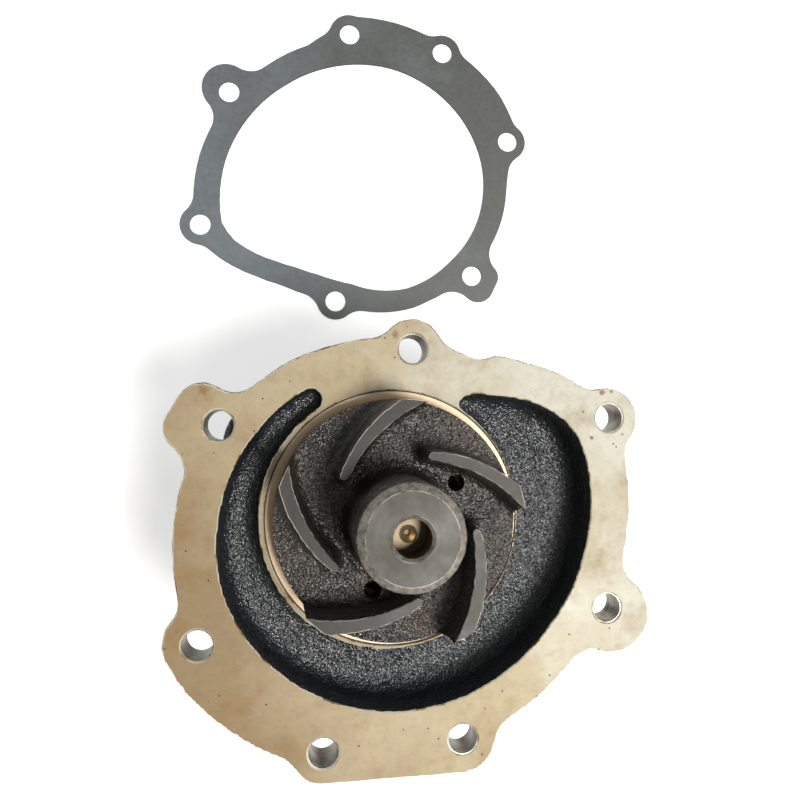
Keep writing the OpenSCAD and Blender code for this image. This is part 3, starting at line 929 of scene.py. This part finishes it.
def lug_cutter():
    """A drill that also faces both sides of the lug round its hole."""
    place, dims = mount("side_lug_hole")
    r, half = dims["r_mm"], dims["length_mm"] / 2
    low, high = place.z - half, place.z + half
    spot = r + 5.5
    profile = [
        (0, low - 3),
        (spot, low - 3),
        (spot, low + 0.3),
        (r + 0.5, low + 0.3),
        (r, low + 0.8),
        (r, high - 0.8),
        (r + 0.5, high - 0.3),
        (spot, high - 0.3),
        (spot, high + 3),
        (0, high + 3),
    ]
    return turned("drill", profile, steps=64, at=(place.x, place.y))


def bore_cutter():
    """The boring bar's path: bearing seat, ring groove, seal chamber, seal cup's seat, recess."""
    s = sizes()
    snap_low, snap_high = cad_box("bearing_snap_ring")
    seat = RACE_HIGH.x
    groove = snap_high.x + 0.2
    cup_body = CUP_HIGH.x - 2.5
    lip_z = CUP_HIGH.z - 0.8
    floor_z = FACE_Z - s.recess_depth
    profile = [
        (0, BODY_LOW.z - 6),
        (seat + 0.8, BODY_LOW.z - 6),
        (seat + 0.8, BODY_LOW.z),
        (seat, BODY_LOW.z + 0.8),
        (seat, snap_low.z - 0.05),
        (groove, snap_low.z - 0.05),
        (groove, snap_high.z + 0.05),
        (seat, snap_high.z + 0.05),
        (seat, RACE_HIGH.z),
        (s.chamber_radius, RACE_HIGH.z),
        (s.chamber_radius, CUP_LOW.z),
        (cup_body, CUP_LOW.z),
        (cup_body, lip_z),
        (cup_body + 5, lip_z),
        (cup_body + 5, floor_z - 0.4),
        (cup_body + 5.4, floor_z),
        (s.recess_radius, floor_z),
        (s.recess_radius, FACE_Z + 6),
        (0, FACE_Z + 6),
    ]
    return turned("boring_bar", profile, steps=180)


def weep_cutter(side):
    """A drill for the weep or the vent hole, from the chamber out through the bearing's nose."""
    s = sizes()
    made = turned("drill", [(0, 0), (s.weep_radius, 0), (s.weep_radius, 40), (0, 40)], steps=32)
    lean = Matrix.Rotation(math.radians(-side * 115), 4, "X")
    start = Matrix.Translation((0, side * (s.chamber_radius - 3), RACE_HIGH.z + 4))
    made.data.transform(start @ lean)
    tidy(made, 1e-4)
    return made


def paint_casting(obj):
    """Machined faces by where the tools went; all else keeps the dip."""
    s = sizes()
    floor_z = FACE_Z - s.recess_depth
    lug, lug_dims = mount("side_lug_hole")
    lug_half = lug_dims["length_mm"] / 2 - 0.3

    def drilled(c, n):
        hit = np.zeros(len(c), bool)
        wall = np.abs(n[:, 2]) < 0.9
        for place, dims in FLANGE_HOLES:
            away = np.hypot(c[:, 0] - place.x, c[:, 1] - place.y)
            spot_z = FACE_Z - dims["length_mm"] + 0.25
            spot = (np.abs(c[:, 2] - spot_z) < 0.02) & (n[:, 2] < -LEVEL)
            hit |= spot & (away < dims["r_mm"] + 3.7)
            hit |= (away < dims["r_mm"] + 0.5) & wall & (c[:, 2] > spot_z - 0.1)
        away = np.hypot(c[:, 0] - lug.x, c[:, 1] - lug.y)
        up = np.abs(c[:, 2] - lug.z)
        faced = (np.abs(up - lug_half) < 0.02) & (np.abs(n[:, 2]) > LEVEL)
        hit |= (away < lug_dims["r_mm"] + 0.6) & (up < lug_half + 0.1)
        return hit | (faced & (away < lug_dims["r_mm"] + 5.6))

    def recess_floor(c, n):
        return (out_from_axis(c) < s.recess_radius + 0.05) & (np.abs(c[:, 2] - floor_z) < 0.02)

    def recess_wall(c, n):
        beside = np.abs(out_from_axis(c) - s.recess_radius) < 0.06
        return beside & (c[:, 2] > floor_z) & (c[:, 2] < FACE_Z)

    rules = [
        (3, lambda c, n: (out_from_axis(c) < RACE_HIGH.x + 1) & (c[:, 2] < floor_z - 0.1)),
        (3, lambda c, n: (np.abs(c[:, 2] - BODY_LOW.z) < 0.02) & (n[:, 2] < -LEVEL)),
        (4, recess_floor),
        (5, recess_wall),
        (3, drilled),
        (1, lambda c, n: (np.abs(c[:, 2] - FACE_Z) < 0.005) & (n[:, 2] > LEVEL)),
    ]
    finishes_in_order = [
        dipped_cast_iron(),
        milled_oiled_iron(),
        oil_stained_edge(),
        bored_iron(),
        recess_iron(),
        plain_finish("dried_oil_line", linear("#7A5526"), 0.1, 0.4, 0.35, 12),
    ]
    paint(obj, finishes_in_order, rules)


# ---- the impeller ----

BLADES = 5
BLADE_FROM = 84.0  # degrees round the axis, at the first blade's tip
BLADE_TURN = 117.1  # degrees round the blade's own arc, at its tip
BLADE_SWEEP = 40.0  # degrees of that arc from tip to root
BLADE_TAPER = 0.36  # share of its thickness that a blade loses by its root
TIP_GAP = 0.3
IMPELLER_HUB_RADIUS = 14.0
HUB_CHAMFER = 1.8
BALANCE_HOLES = ((21.5, 31), (21.5, 251))  # distance from the axis, degrees round it


def polar(radius, degrees):
    """A place in plan."""
    angle = math.radians(degrees)
    return Vector((radius * math.cos(angle), radius * math.sin(angle)))


def blade_loop(extra):
    """A blade's outline in plan, wider all round by extra: one side, its end, the other side."""
    s = sizes()
    centre = polar(IMPELLER_HIGH.x - TIP_GAP, BLADE_FROM) - polar(s.blade_arc, BLADE_TURN)

    def side(sign, t):
        half = s.blade_width / 2 * (1 - BLADE_TAPER * t * t) + extra
        return centre + polar(s.blade_arc + sign * half, BLADE_TURN + BLADE_SWEEP * t)

    steps = 26
    ts = [-0.22 + 1.22 * i / steps for i in range(steps + 1)]
    end_half = s.blade_width / 2 * (1 - BLADE_TAPER) + extra
    end = centre + polar(s.blade_arc, BLADE_TURN + BLADE_SWEEP)
    facing = BLADE_TURN + BLADE_SWEEP
    cap = [end + polar(end_half, facing + 180 * i / 10) for i in range(1, 10)]
    return [side(1, t) for t in ts] + cap + [side(-1, t) for t in reversed(ts)]


def blade(number, plate_top, top):
    """One blade: its sides lean out towards the plate, and a fillet meets it."""
    s = sizes()
    lean = math.tan(s.blade_draft)
    heights = [-1.5, 0, 0.25, 0.6, 1.1, 1.8, s.blade_root, 5, 9, top - plate_top + 1.6]
    loops = []
    for h in heights:
        fillet = 0.0
        if h < s.blade_root:
            up = s.blade_root - max(h, 0)
            fillet = s.blade_root - math.sqrt(max(s.blade_root**2 - up**2, 0))
        extra = (top - plate_top - h) * lean + fillet
        loops.append([(p.x, p.y, plate_top + h) for p in blade_loop(extra)])
    n = len(loops[0])
    points = [p for loop in loops for p in loop]
    faces = [
        (i * n + k, i * n + (k + 1) % n, (i + 1) * n + (k + 1) % n, (i + 1) * n + k)
        for i in range(len(loops) - 1)
        for k in range(n)
    ]
    faces += [tuple(range(n)), tuple(range((len(loops) - 1) * n, len(loops) * n))]
    made = from_lists("blade", points, faces)
    made.data.transform(Matrix.Rotation(math.tau * number / BLADES, 4, "Z"))
    return made


def impeller():
    """Plate, hub and blades cast in one, then faced, skimmed, bored and drilled."""
    s = sizes()
    low, high, rim = IMPELLER_LOW.z, IMPELLER_HIGH.z, IMPELLER_HIGH.x
    hub_r, hole_r = IMPELLER_HUB_RADIUS, mount("puller_hole")[1]["r_mm"]
    plate_top = low + s.plate_depth
    top = plate_top + s.blade_height
    plate = [(0, low - 1), (rim + 0.8, low - 1), (rim + 0.8, plate_top), (0, plate_top)]
    hub = [
        (0, low),
        (hub_r + 4.2, low),
        (hub_r + 4.2, plate_top + 0.3),
        (hub_r + 2.2, plate_top + 1.2),
        (hub_r + 1.0, plate_top + 3.2),
        (hub_r + 0.55, plate_top + 6),
        (hub_r + 0.15, high + 1.5),
        (0, high + 1.5),
    ]
    parts = [turned("plate", plate), turned("hub", hub)]
    parts += [blade(i, plate_top, top) for i in range(BLADES)]
    made = joined("impeller_casting", parts)
    remesh(made, s.impeller_voxel, 3)
    roughen(made, [(5.0, 0.1), (1.9, 0.12), (1.0, 0.1)])
    facing = [
        (hub_r + 2.6, top),
        (60, top),
        (60, high + 6),
        (0, high + 6),
        (0, high),
        (hub_r - HUB_CHAMFER, high),
        (hub_r + 0.02, high - HUB_CHAMFER),
        (hub_r + 2.6, high - HUB_CHAMFER - 2),
    ]
    skim = [
        (rim, low - 6),
        (60, low - 6),
        (60, top + 3),
        (rim - TIP_GAP, top + 3),
        (rim - TIP_GAP, plate_top + 0.2),
        (rim, plate_top + 0.2),
    ]
    under = [(0, low - 9), (70, low - 9), (70, low), (0, low)]
    for profile, steps in ((facing, 180), (skim, 240), (under, 48)):
        cut(made, [turned("lathe_tool", profile, steps=steps)])
    cut(made, impeller_drills(low, high, top, hole_r))

    def hub_edge(c, n):
        out = out_from_axis(c)
        return (out < hub_r + 0.3) & (c[:, 2] > high - HUB_CHAMFER) & (out > hole_r - 0.1)

    rules = [
        (1, lambda c, n: (out_from_axis(c) > rim - TIP_GAP - 0.05) & (np.abs(n[:, 2]) < 0.3)),
        (1, lambda c, n: (np.abs(c[:, 2] - top) < 0.01) & (n[:, 2] > LEVEL)),
        (3, lambda c, n: (out_from_axis(c) < SHAFT_RADIUS + 0.05) & (c[:, 2] < high - 0.9)),
        (4, hub_edge),
        (1, lambda c, n: (np.abs(c[:, 2] - high) < 0.01) & (n[:, 2] > LEVEL)),
    ]
    finishes_in_order = [
        impeller_cast_iron(),
        turned_impeller_iron(),
        worn_iron_edge(),
        hub_hole_iron(),
        plain_finish("turned_chamfer", linear("#A39C8F"), 0.85, 0.3, 0.3, 1.6),
    ]
    paint(made, finishes_in_order, rules)
    break_edges(made, 1, 2, s.worn_edge)
    finish(made, "rotor", ["impeller"])


def impeller_drills(low, high, top, hole_r):
    """The bore for seat, shaft and puller, and the balance holes."""
    seat_high = cad_box("seat_rubber")[1]
    bore = [
        (0, low - 5),
        (seat_high.x, low - 5),
        (seat_high.x, seat_high.z),
        (SHAFT_RADIUS, seat_high.z),
        (SHAFT_RADIUS, SHAFT_HIGH.z),
        (hole_r, SHAFT_HIGH.z),
        (hole_r, high - 0.8),
        (hole_r + 1.8, high + 1),
        (hole_r + 1.8, high + 5),
        (0, high + 5),
    ]
    r = sizes().balance_radius
    drill = [(0, low - 3), (r, low - 3), (r, top), (0, top)]
    drills = [turned("drill", drill, steps=40, at=polar(*hole)) for hole in BALANCE_HOLES]
    return [turned("bore", bore, steps=96), *drills]


# ---- the shaft and the drive hub ----


def shaft():
    """Ground shaft: a journal for the balls and rollers, and a centre drill in each end."""
    low, high = SHAFT_LOW.z, SHAFT_HIGH.z
    j_low, j_high = RACE_LOW.z - 2, RACE_HIGH.z + 2
    balls_low, balls_high = cad_box("bearing_balls")
    ball_z = (balls_low.z + balls_high.z) / 2
    track_r = (balls_high.z - balls_low.z) / 2 + 0.06
    pitch = balls_high.x - track_r + 0.06
    half = math.sqrt(track_r**2 - (pitch - JOURNAL_RADIUS) ** 2)
    track = []
    for i in range(13):
        z = ball_z - half + 2 * half * i / 12
        deep = pitch - math.sqrt(max(track_r**2 - (z - ball_z) ** 2, 0))
        track.append((min(JOURNAL_RADIUS, deep), z))
    profile = [
        (0, low + 2.6),
        (0.6, low + 2.6),
        (2.1, low),
        (SHAFT_RADIUS - 0.5, low),
        (SHAFT_RADIUS, low + 0.5),
        (SHAFT_RADIUS, j_low),
        (JOURNAL_RADIUS - 0.4, j_low),
        (JOURNAL_RADIUS, j_low + 0.4),
        *track,
        (JOURNAL_RADIUS, j_high - 0.4),
        (JOURNAL_RADIUS - 0.4, j_high),
        (SHAFT_RADIUS, j_high),
        (SHAFT_RADIUS, high - 0.6),
        (SHAFT_RADIUS - 0.6, high),
        (2.4, high),
        (2.1, high - 0.12),
        (1.4, high - 1.2),
        (0.75, high - 1.9),
        (0.7, high - 2.6),
        (0, high - 2.6),
    ]
    made = turned("shaft_ground", profile, steps=128)
    steel = plain_finish("ground_shaft_steel", linear("#7D6F5A"), 0.7, 0.4, 0.45, 2.2)
    centre = plain_finish("centre_drill_steel", linear("#BFAA86"), 0.7, 0.3, 0.5, 1.5)

    def centre_drill(c, n):
        out = out_from_axis(c)
        return (out < 2.15) & (out > 0.9) & (c[:, 2] > high - 2.8)

    paint(made, [steel, centre], [(1, centre_drill)])
    finish(made, "rotor", ["shaft"])


def drive_hub():
    """Forged hub, turned and drilled: flange, barrel, pilot recess and four tapped holes."""
    low, high, rim = HUB_LOW.z, HUB_HIGH.z, HUB_HIGH.x
    barrel, bore = 14.5, SHAFT_RADIUS
    back = low + HUB_FLANGE
    dims = mount("pulley_pilot")[1]
    pilot, deep = dims["r_mm"], low + dims["length_mm"]
    profile = [
        (bore, deep),
        (pilot - 0.4, deep),
        (pilot, deep - 0.4),
        (pilot, low + 0.5),
        (pilot + 0.5, low),
        (rim - 0.8, low),
        (rim, low + 0.8),
        (rim, back - 1.2),
        (rim - 1.2, back),
        (barrel + 3.2, back),
        (barrel + 1.4, back + 0.6),
        (barrel + 0.4, back + 1.8),
        (barrel, back + 3.4),
        (barrel, high - 0.8),
        (barrel - 0.8, high),
        (bore + 0.6, high),
        (bore, high - 0.6),
    ]
    made = turned("drive_hub_turned", profile, steps=192)
    dims = mount("pulley_bolts")[1]
    cut(made, [tap(dims, i, low, back) for i in range(dims["count"])])
    oxide = plain_finish("black_oxide_steel", finishes().oxide, 0.5, 0.42, 0.6, 6)
    bright = plain_finish("turned_hub_steel", linear("#8B8983"), 0.85, 0.35, 0.75, 2)

    def bare(c, n):
        return (np.abs(c[:, 2] - low) < 0.02) | (out_from_axis(c) < bore + 0.1)

    paint(made, [oxide, bright], [(1, bare)])
    finish(made, "rotor", ["drive_hub"])


def tap(dims, number, low, back):
    """A tap with countersinks: what it leaves is a threaded hole through the hub's flange."""
    r = dims["hole_r_mm"]
    profile = [(0, low - 3), (r + 0.9, low - 3), (r + 0.9, low), (r, low + 0.9)]
    for k in range(int((HUB_FLANGE - 1.8) / THREAD_PITCH)):
        z = low + 0.9 + k * THREAD_PITCH
        profile += [(r, z + 0.15), (r + THREAD_DEPTH, z + THREAD_PITCH / 2)]
        profile.append((r, z + THREAD_PITCH - 0.15))
    profile += [(r, back - 0.6), (r + 0.8, back + 0.2), (r + 0.8, back + 4), (0, back + 4)]
    at = polar(dims["pcd_mm"] / 2, 45 + 90 * number)
    return turned("tap", profile, steps=48, at=at)


# ---- the bearing ----


def turned_piece(name, profile, edge, body, node, material):
    """A turned piece with rounded corners and one finish."""
    made = turned(name, eased(profile, edge), steps=128)
    made.data.materials.append(material)
    finish(made, body, [node])


def bearing():
    """Race, lip seals, snap ring, moulded cages, balls and rollers."""
    steel = plain_finish("ground_bearing_steel", finishes().steel, 0.9, 0.25, 0.8, 4)
    rubber = plain_finish("moulded_seal_rubber", linear("#1A1A1B"), 0.0, 0.6, 0.7, 3)
    spring_steel = plain_finish("phosphated_spring_steel", linear("#4A4A4B"), 0.7, 0.45, 0.6, 3)
    nylon = plain_finish("moulded_cage_nylon", linear("#2A2622"), 0.0, 0.45, 0.85, 5)
    polished = plain_finish("polished_bearing_steel", linear("#C8CACD"), 1.0, 0.08, 0.95, 8)
    race, ring = "bearing_outer_race", "bearing_snap_ring"
    bevelled(race + "_ground", race, "housing", steel, 0.3)
    for node in ("bearing_front_seal", "bearing_rear_seal"):
        lip_seal(node, rubber)
    bevelled(ring + "_pressed", ring, "housing", spring_steel, 0.2)
    for node, body in (("ball_cage", "ball_set"), ("roller_cage", "roller_set")):
        bevelled(node + "_moulded", node, body, nylon, 0.12)
    rolling("bearing_balls", 8, "ball_set", polished)
    rolling("bearing_rollers", 9, "roller_set", polished)


def lip_seal(node, rubber):
    """A moulded seal with a lip towards the shaft."""
    low, high = cad_box(node)
    lip = SEAL_LIP_RADIUS
    profile = [
        (lip, low.z + 0.7),
        (lip + 1.0, low.z + 0.5),
        (lip + 1.5, low.z),
        (lip + 2.8, low.z),
        (lip + 3.1, low.z + 0.5),
        (high.x - 1.4, low.z + 0.5),
        (high.x - 1.1, low.z),
        (high.x, low.z),
        (high.x, high.z),
        (lip + 1.6, high.z),
        (lip + 0.8, high.z - 0.4),
        (lip, high.z - 0.7),
    ]
    turned_piece(node + "_moulded", profile, 0.15, "housing", node, rubber)


def rolling(node, count, body, material):
    """A ring of balls, or of rollers with rounded ends, from the node's own box."""
    low, high = cad_box(node)
    middle, half = (low.z + high.z) / 2, (high.z - low.z) / 2
    if node == "bearing_balls":
        r = half
        angles = [math.pi * i / 24 for i in range(25)]
        profile = [(max(r * math.sin(a), 0), -r * math.cos(a)) for a in angles]
    else:
        r = ROLLER_RADIUS
        profile = eased([(0, -half), (r, -half), (r, half), (0, half)], 0.5, 4)
    profile = [(x, z + middle) for x, z in profile]
    places = [polar(high.x - r, 360 * i / count) for i in range(count)]
    made = joined(node + "_ground", [turned("rolling", profile, 40, place) for place in places])
    made.data.materials.append(material)
    finish(made, body, [node])


# ---- the shaft seal ----


def shaft_seal():
    """Slinger, drawn cup, bellows, carbon ring, ceramic seat in its rubber, and the spring."""
    steel = plain_finish("pressed_slinger_steel", linear("#8E8E8C"), 0.8, 0.35, 0.7, 4)
    brass = plain_finish("drawn_brass", finishes().brass, 0.9, 0.3, 0.7, 5)
    rubber = plain_finish("moulded_bellows_rubber", linear("#161617"), 0.0, 0.55, 0.7, 2)
    wire = plain_finish("stainless_wire", linear("#A5A7A8"), 0.95, 0.25, 0.8, 2)
    carbon = plain_finish("lapped_carbon", linear("#202022"), 0.1, 0.35, 0.8, 2)
    ceramic = plain_finish("lapped_ceramic", finishes().ceramic, 0.0, 0.2, 0.93, 6)
    low, high = cad_box("slinger")
    ring = [
        (SHAFT_RADIUS, low.z),
        (high.x - 2, low.z),
        (high.x, high.z - 0.6),
        (high.x, high.z),
        (high.x - 2.4, high.z - 0.3),
        (SHAFT_RADIUS, high.z),
    ]
    turned_piece("slinger_pressed", ring, 0.12, "rotor", "slinger", steel)
    for node, made_by, body, slot, material, width in (
        ("seal_cup", "drawn", "housing", "seal_brass", brass, 0.25),
        ("seal_bellows", "moulded", "housing", "seal_rubber", rubber, 0.3),
        ("carbon_ring", "lapped", "housing", "carbon", carbon, 0.2),
        ("ceramic_seat", "lapped", "rotor", "ceramic", ceramic, 0.25),
        ("seat_rubber", "moulded", "rotor", "seal_rubber", rubber, 0.25),
    ):
        bevelled(f"{node}_{made_by}", node, body, material, width)
    spring(wire)


def spring(material):
    """The seal's spring: a round wire wound as a helix."""
    low, high = cad_box("seal_spring")
    wire = 0.6
    turns, per_turn, sides = 4, 48, 12
    start, rise = low.z + wire, high.z - low.z - 2 * wire
    n = turns * per_turn
    points = []
    for i, j in itertools.product(range(n + 1), range(sides)):
        a, b = math.tau * i / per_turn, math.tau * j / sides
        reach = high.x - wire + wire * math.cos(b)
        up = start + rise * i / n + wire * math.sin(b)
        points.append((reach * math.cos(a), reach * math.sin(a), up))
    faces = []
    for i, j in itertools.product(range(n), range(sides)):
        at, on, k = i * sides, (i + 1) * sides, (j + 1) % sides
        faces.append((at + j, on + j, on + k, at + k))
    faces += [tuple(range(sides)), tuple(range(n * sides, (n + 1) * sides))]
    made = from_lists("seal_spring_wound", points, faces)
    made.data.materials.append(material)
    finish(made, "housing", ["seal_spring"])


# ---- the gasket ----


def gasket():
    """Sheet steel, blanked in a press: flat, with a sheared edge that is broken on both sides."""
    edge = plain_finish("sheared_gasket_edge", linear("#4B4A46"), 0.5, 0.45, 0.6, 3)
    made = cad_copy("mounting_gasket_sheet", "mounting_gasket", weld=0.12)
    paint(made, [coated_gasket_steel(), edge], [(1, lambda c, n: np.abs(n[:, 2]) < 0.9)])
    for _ in range(2):  # one side, turned over, and the other
        break_edges(made, 0, 1, sizes().gasket_edge)
        made.data.transform(Matrix.Rotation(math.pi, 4, "X"))
    finish(made, "gasket", ["mounting_gasket"])


# ---- the stage ----


def stage():
    """Floor, sky, lights and camera."""
    scene = bpy.context.scene
    scene.view_settings.view_transform = "Standard"
    half = 6.0
    corners = [(-half, -half, 0), (half, -half, 0), (half, half, 0), (-half, half, 0)]
    floor_mesh = bpy.data.meshes.new("floor")
    floor_mesh.from_pydata(corners, [], [(0, 1, 2, 3)])
    floor = new_object("floor", floor_mesh)
    floor_mesh.materials.append(studio_floor())
    world = bpy.data.worlds.new("studio")
    scene.world = world
    world.use_nodes = True
    sky = world.node_tree
    height = add_node(sky, "SeparateXYZ", add_node(sky, "TexCoord")).node.outputs["Z"]
    wall = add_node(sky, "ValToRGB", height, stops=[(0, 0.8), (0.12, 0.7), (0.5, 0.2)])
    sky.links.new(wall, sky.nodes["Background"].inputs["Color"])
    lamp("key", (0.36, -0.26, 1.12), 0.4, 12.6, (1.0, 0.985, 0.96))
    lamp("window", (0.8, 0.46, 0.8), 0.5, 1.8, (0.86, 0.93, 1.0))
    camera()


def studio_floor():
    """Matt white paper that glows faintly, as under a light tent."""
    return surface(
        new_material("studio_floor")[0],
        Base_Color=rgba(finishes().floor),
        Roughness=0.9,
        Specular_IOR_Level=0.1,
        Emission_Color=rgba(1),
        Emission_Strength=0.5,
    )


def lamp(name, place, width, power, tint):
    """A round soft lamp aimed at the pump."""
    data = bpy.data.lights.new(name, "AREA")
    data.shape = "DISK"
    data.size = width
    data.energy = power
    data.color = tint
    made = bpy.data.objects.new(name, data)
    made.location = place
    aim = Vector((0, 0.03, 0.08)) - made.location
    made.rotation_euler = aim.to_track_quat("-Z", "Y").to_euler()
    bpy.context.scene.collection.objects.link(made)


def camera():
    """Looks down on the mounting face, a little to one side of the shaft's axis."""
    data = bpy.data.cameras.new("camera")
    data.sensor_width = 36.0
    data.lens = 32.13
    data.clip_start = 0.01
    made = bpy.data.objects.new("camera", data)
    right, up = Vector((0.99129, 0.0, 0.13169)), Vector((-0.00415, 0.9995, 0.03122))
    back = right.cross(up)
    turn = Matrix((right, up, back)).transposed().to_4x4()
    made.matrix_world = Matrix.Translation(Vector((-27.03, 29.3, 320.4)) * MM) @ turn
    bpy.context.scene.collection.objects.link(made)
    bpy.context.scene.camera = made


# ---- operators ----


class PUMP_OT_stage(bpy.types.Operator):
    """Builds the floor, the lights and the camera"""

    bl_idname = "pump.stage"
    bl_label = "Stage"

    def execute(self, context):
        stage()
        return {"FINISHED"}


class PUMP_OT_casting(bpy.types.Operator):
    """Builds the cast body with its machined face, bores and volute"""

    bl_idname = "pump.casting"
    bl_label = "Casting"

    def execute(self, context):
        casting()
        return {"FINISHED"}


class PUMP_OT_impeller(bpy.types.Operator):
    """Builds the impeller with its swept blades"""

    bl_idname = "pump.impeller"
    bl_label = "Impeller"

    def execute(self, context):
        impeller()
        return {"FINISHED"}


class PUMP_OT_shaft(bpy.types.Operator):
    """Builds the shaft"""

    bl_idname = "pump.shaft"
    bl_label = "Shaft"

    def execute(self, context):
        shaft()
        return {"FINISHED"}


class PUMP_OT_drive_hub(bpy.types.Operator):
    """Builds the drive hub with its tapped holes"""

    bl_idname = "pump.drive_hub"
    bl_label = "Drive hub"

    def execute(self, context):
        drive_hub()
        return {"FINISHED"}


class PUMP_OT_bearing(bpy.types.Operator):
    """Builds the bearing: race, seals, snap ring, cages, balls and rollers"""

    bl_idname = "pump.bearing"
    bl_label = "Bearing"

    def execute(self, context):
        bearing()
        return {"FINISHED"}


class PUMP_OT_shaft_seal(bpy.types.Operator):
    """Builds the shaft seal and the slinger"""

    bl_idname = "pump.shaft_seal"
    bl_label = "Shaft seal"

    def execute(self, context):
        shaft_seal()
        return {"FINISHED"}


class PUMP_OT_gasket(bpy.types.Operator):
    """Builds the sheet steel gasket"""

    bl_idname = "pump.gasket"
    bl_label = "Gasket"

    def execute(self, context):
        gasket()
        return {"FINISHED"}


STEPS = ("stage", "casting", "impeller", "shaft", "drive_hub", "bearing", "shaft_seal", "gasket")


class PUMP_PT_panel(bpy.types.Panel):
    """Lists the pump's operators, sizes and colours"""

    bl_label = "Engine water pump"
    bl_space_type = "VIEW_3D"
    bl_region_type = "UI"
    bl_category = "Pump"

    def draw(self, context):
        for step in STEPS:
            self.layout.operator(f"pump.{step}")
        for group in (context.scene.pump_sizes, context.scene.pump_finishes):
            box = self.layout.box()
            for name in group.__annotations__:
                box.prop(group, name)


CLASSES = (
    PumpSizes,
    PumpFinishes,
    PUMP_OT_stage,
    PUMP_OT_casting,
    PUMP_OT_impeller,
    PUMP_OT_shaft,
    PUMP_OT_drive_hub,
    PUMP_OT_bearing,
    PUMP_OT_shaft_seal,
    PUMP_OT_gasket,
    PUMP_PT_panel,
)


def register():
    for cls in CLASSES:
        bpy.utils.register_class(cls)
    bpy.types.Scene.pump_sizes = bpy.props.PointerProperty(type=PumpSizes)
    bpy.types.Scene.pump_finishes = bpy.props.PointerProperty(type=PumpFinishes)


def unregister():
    del bpy.types.Scene.pump_finishes
    del bpy.types.Scene.pump_sizes
    for cls in reversed(CLASSES):
        bpy.utils.unregister_class(cls)


def main():
    register()
    for step in STEPS:
        getattr(bpy.ops.pump, step)()


if __name__ == "__main__":
    main()
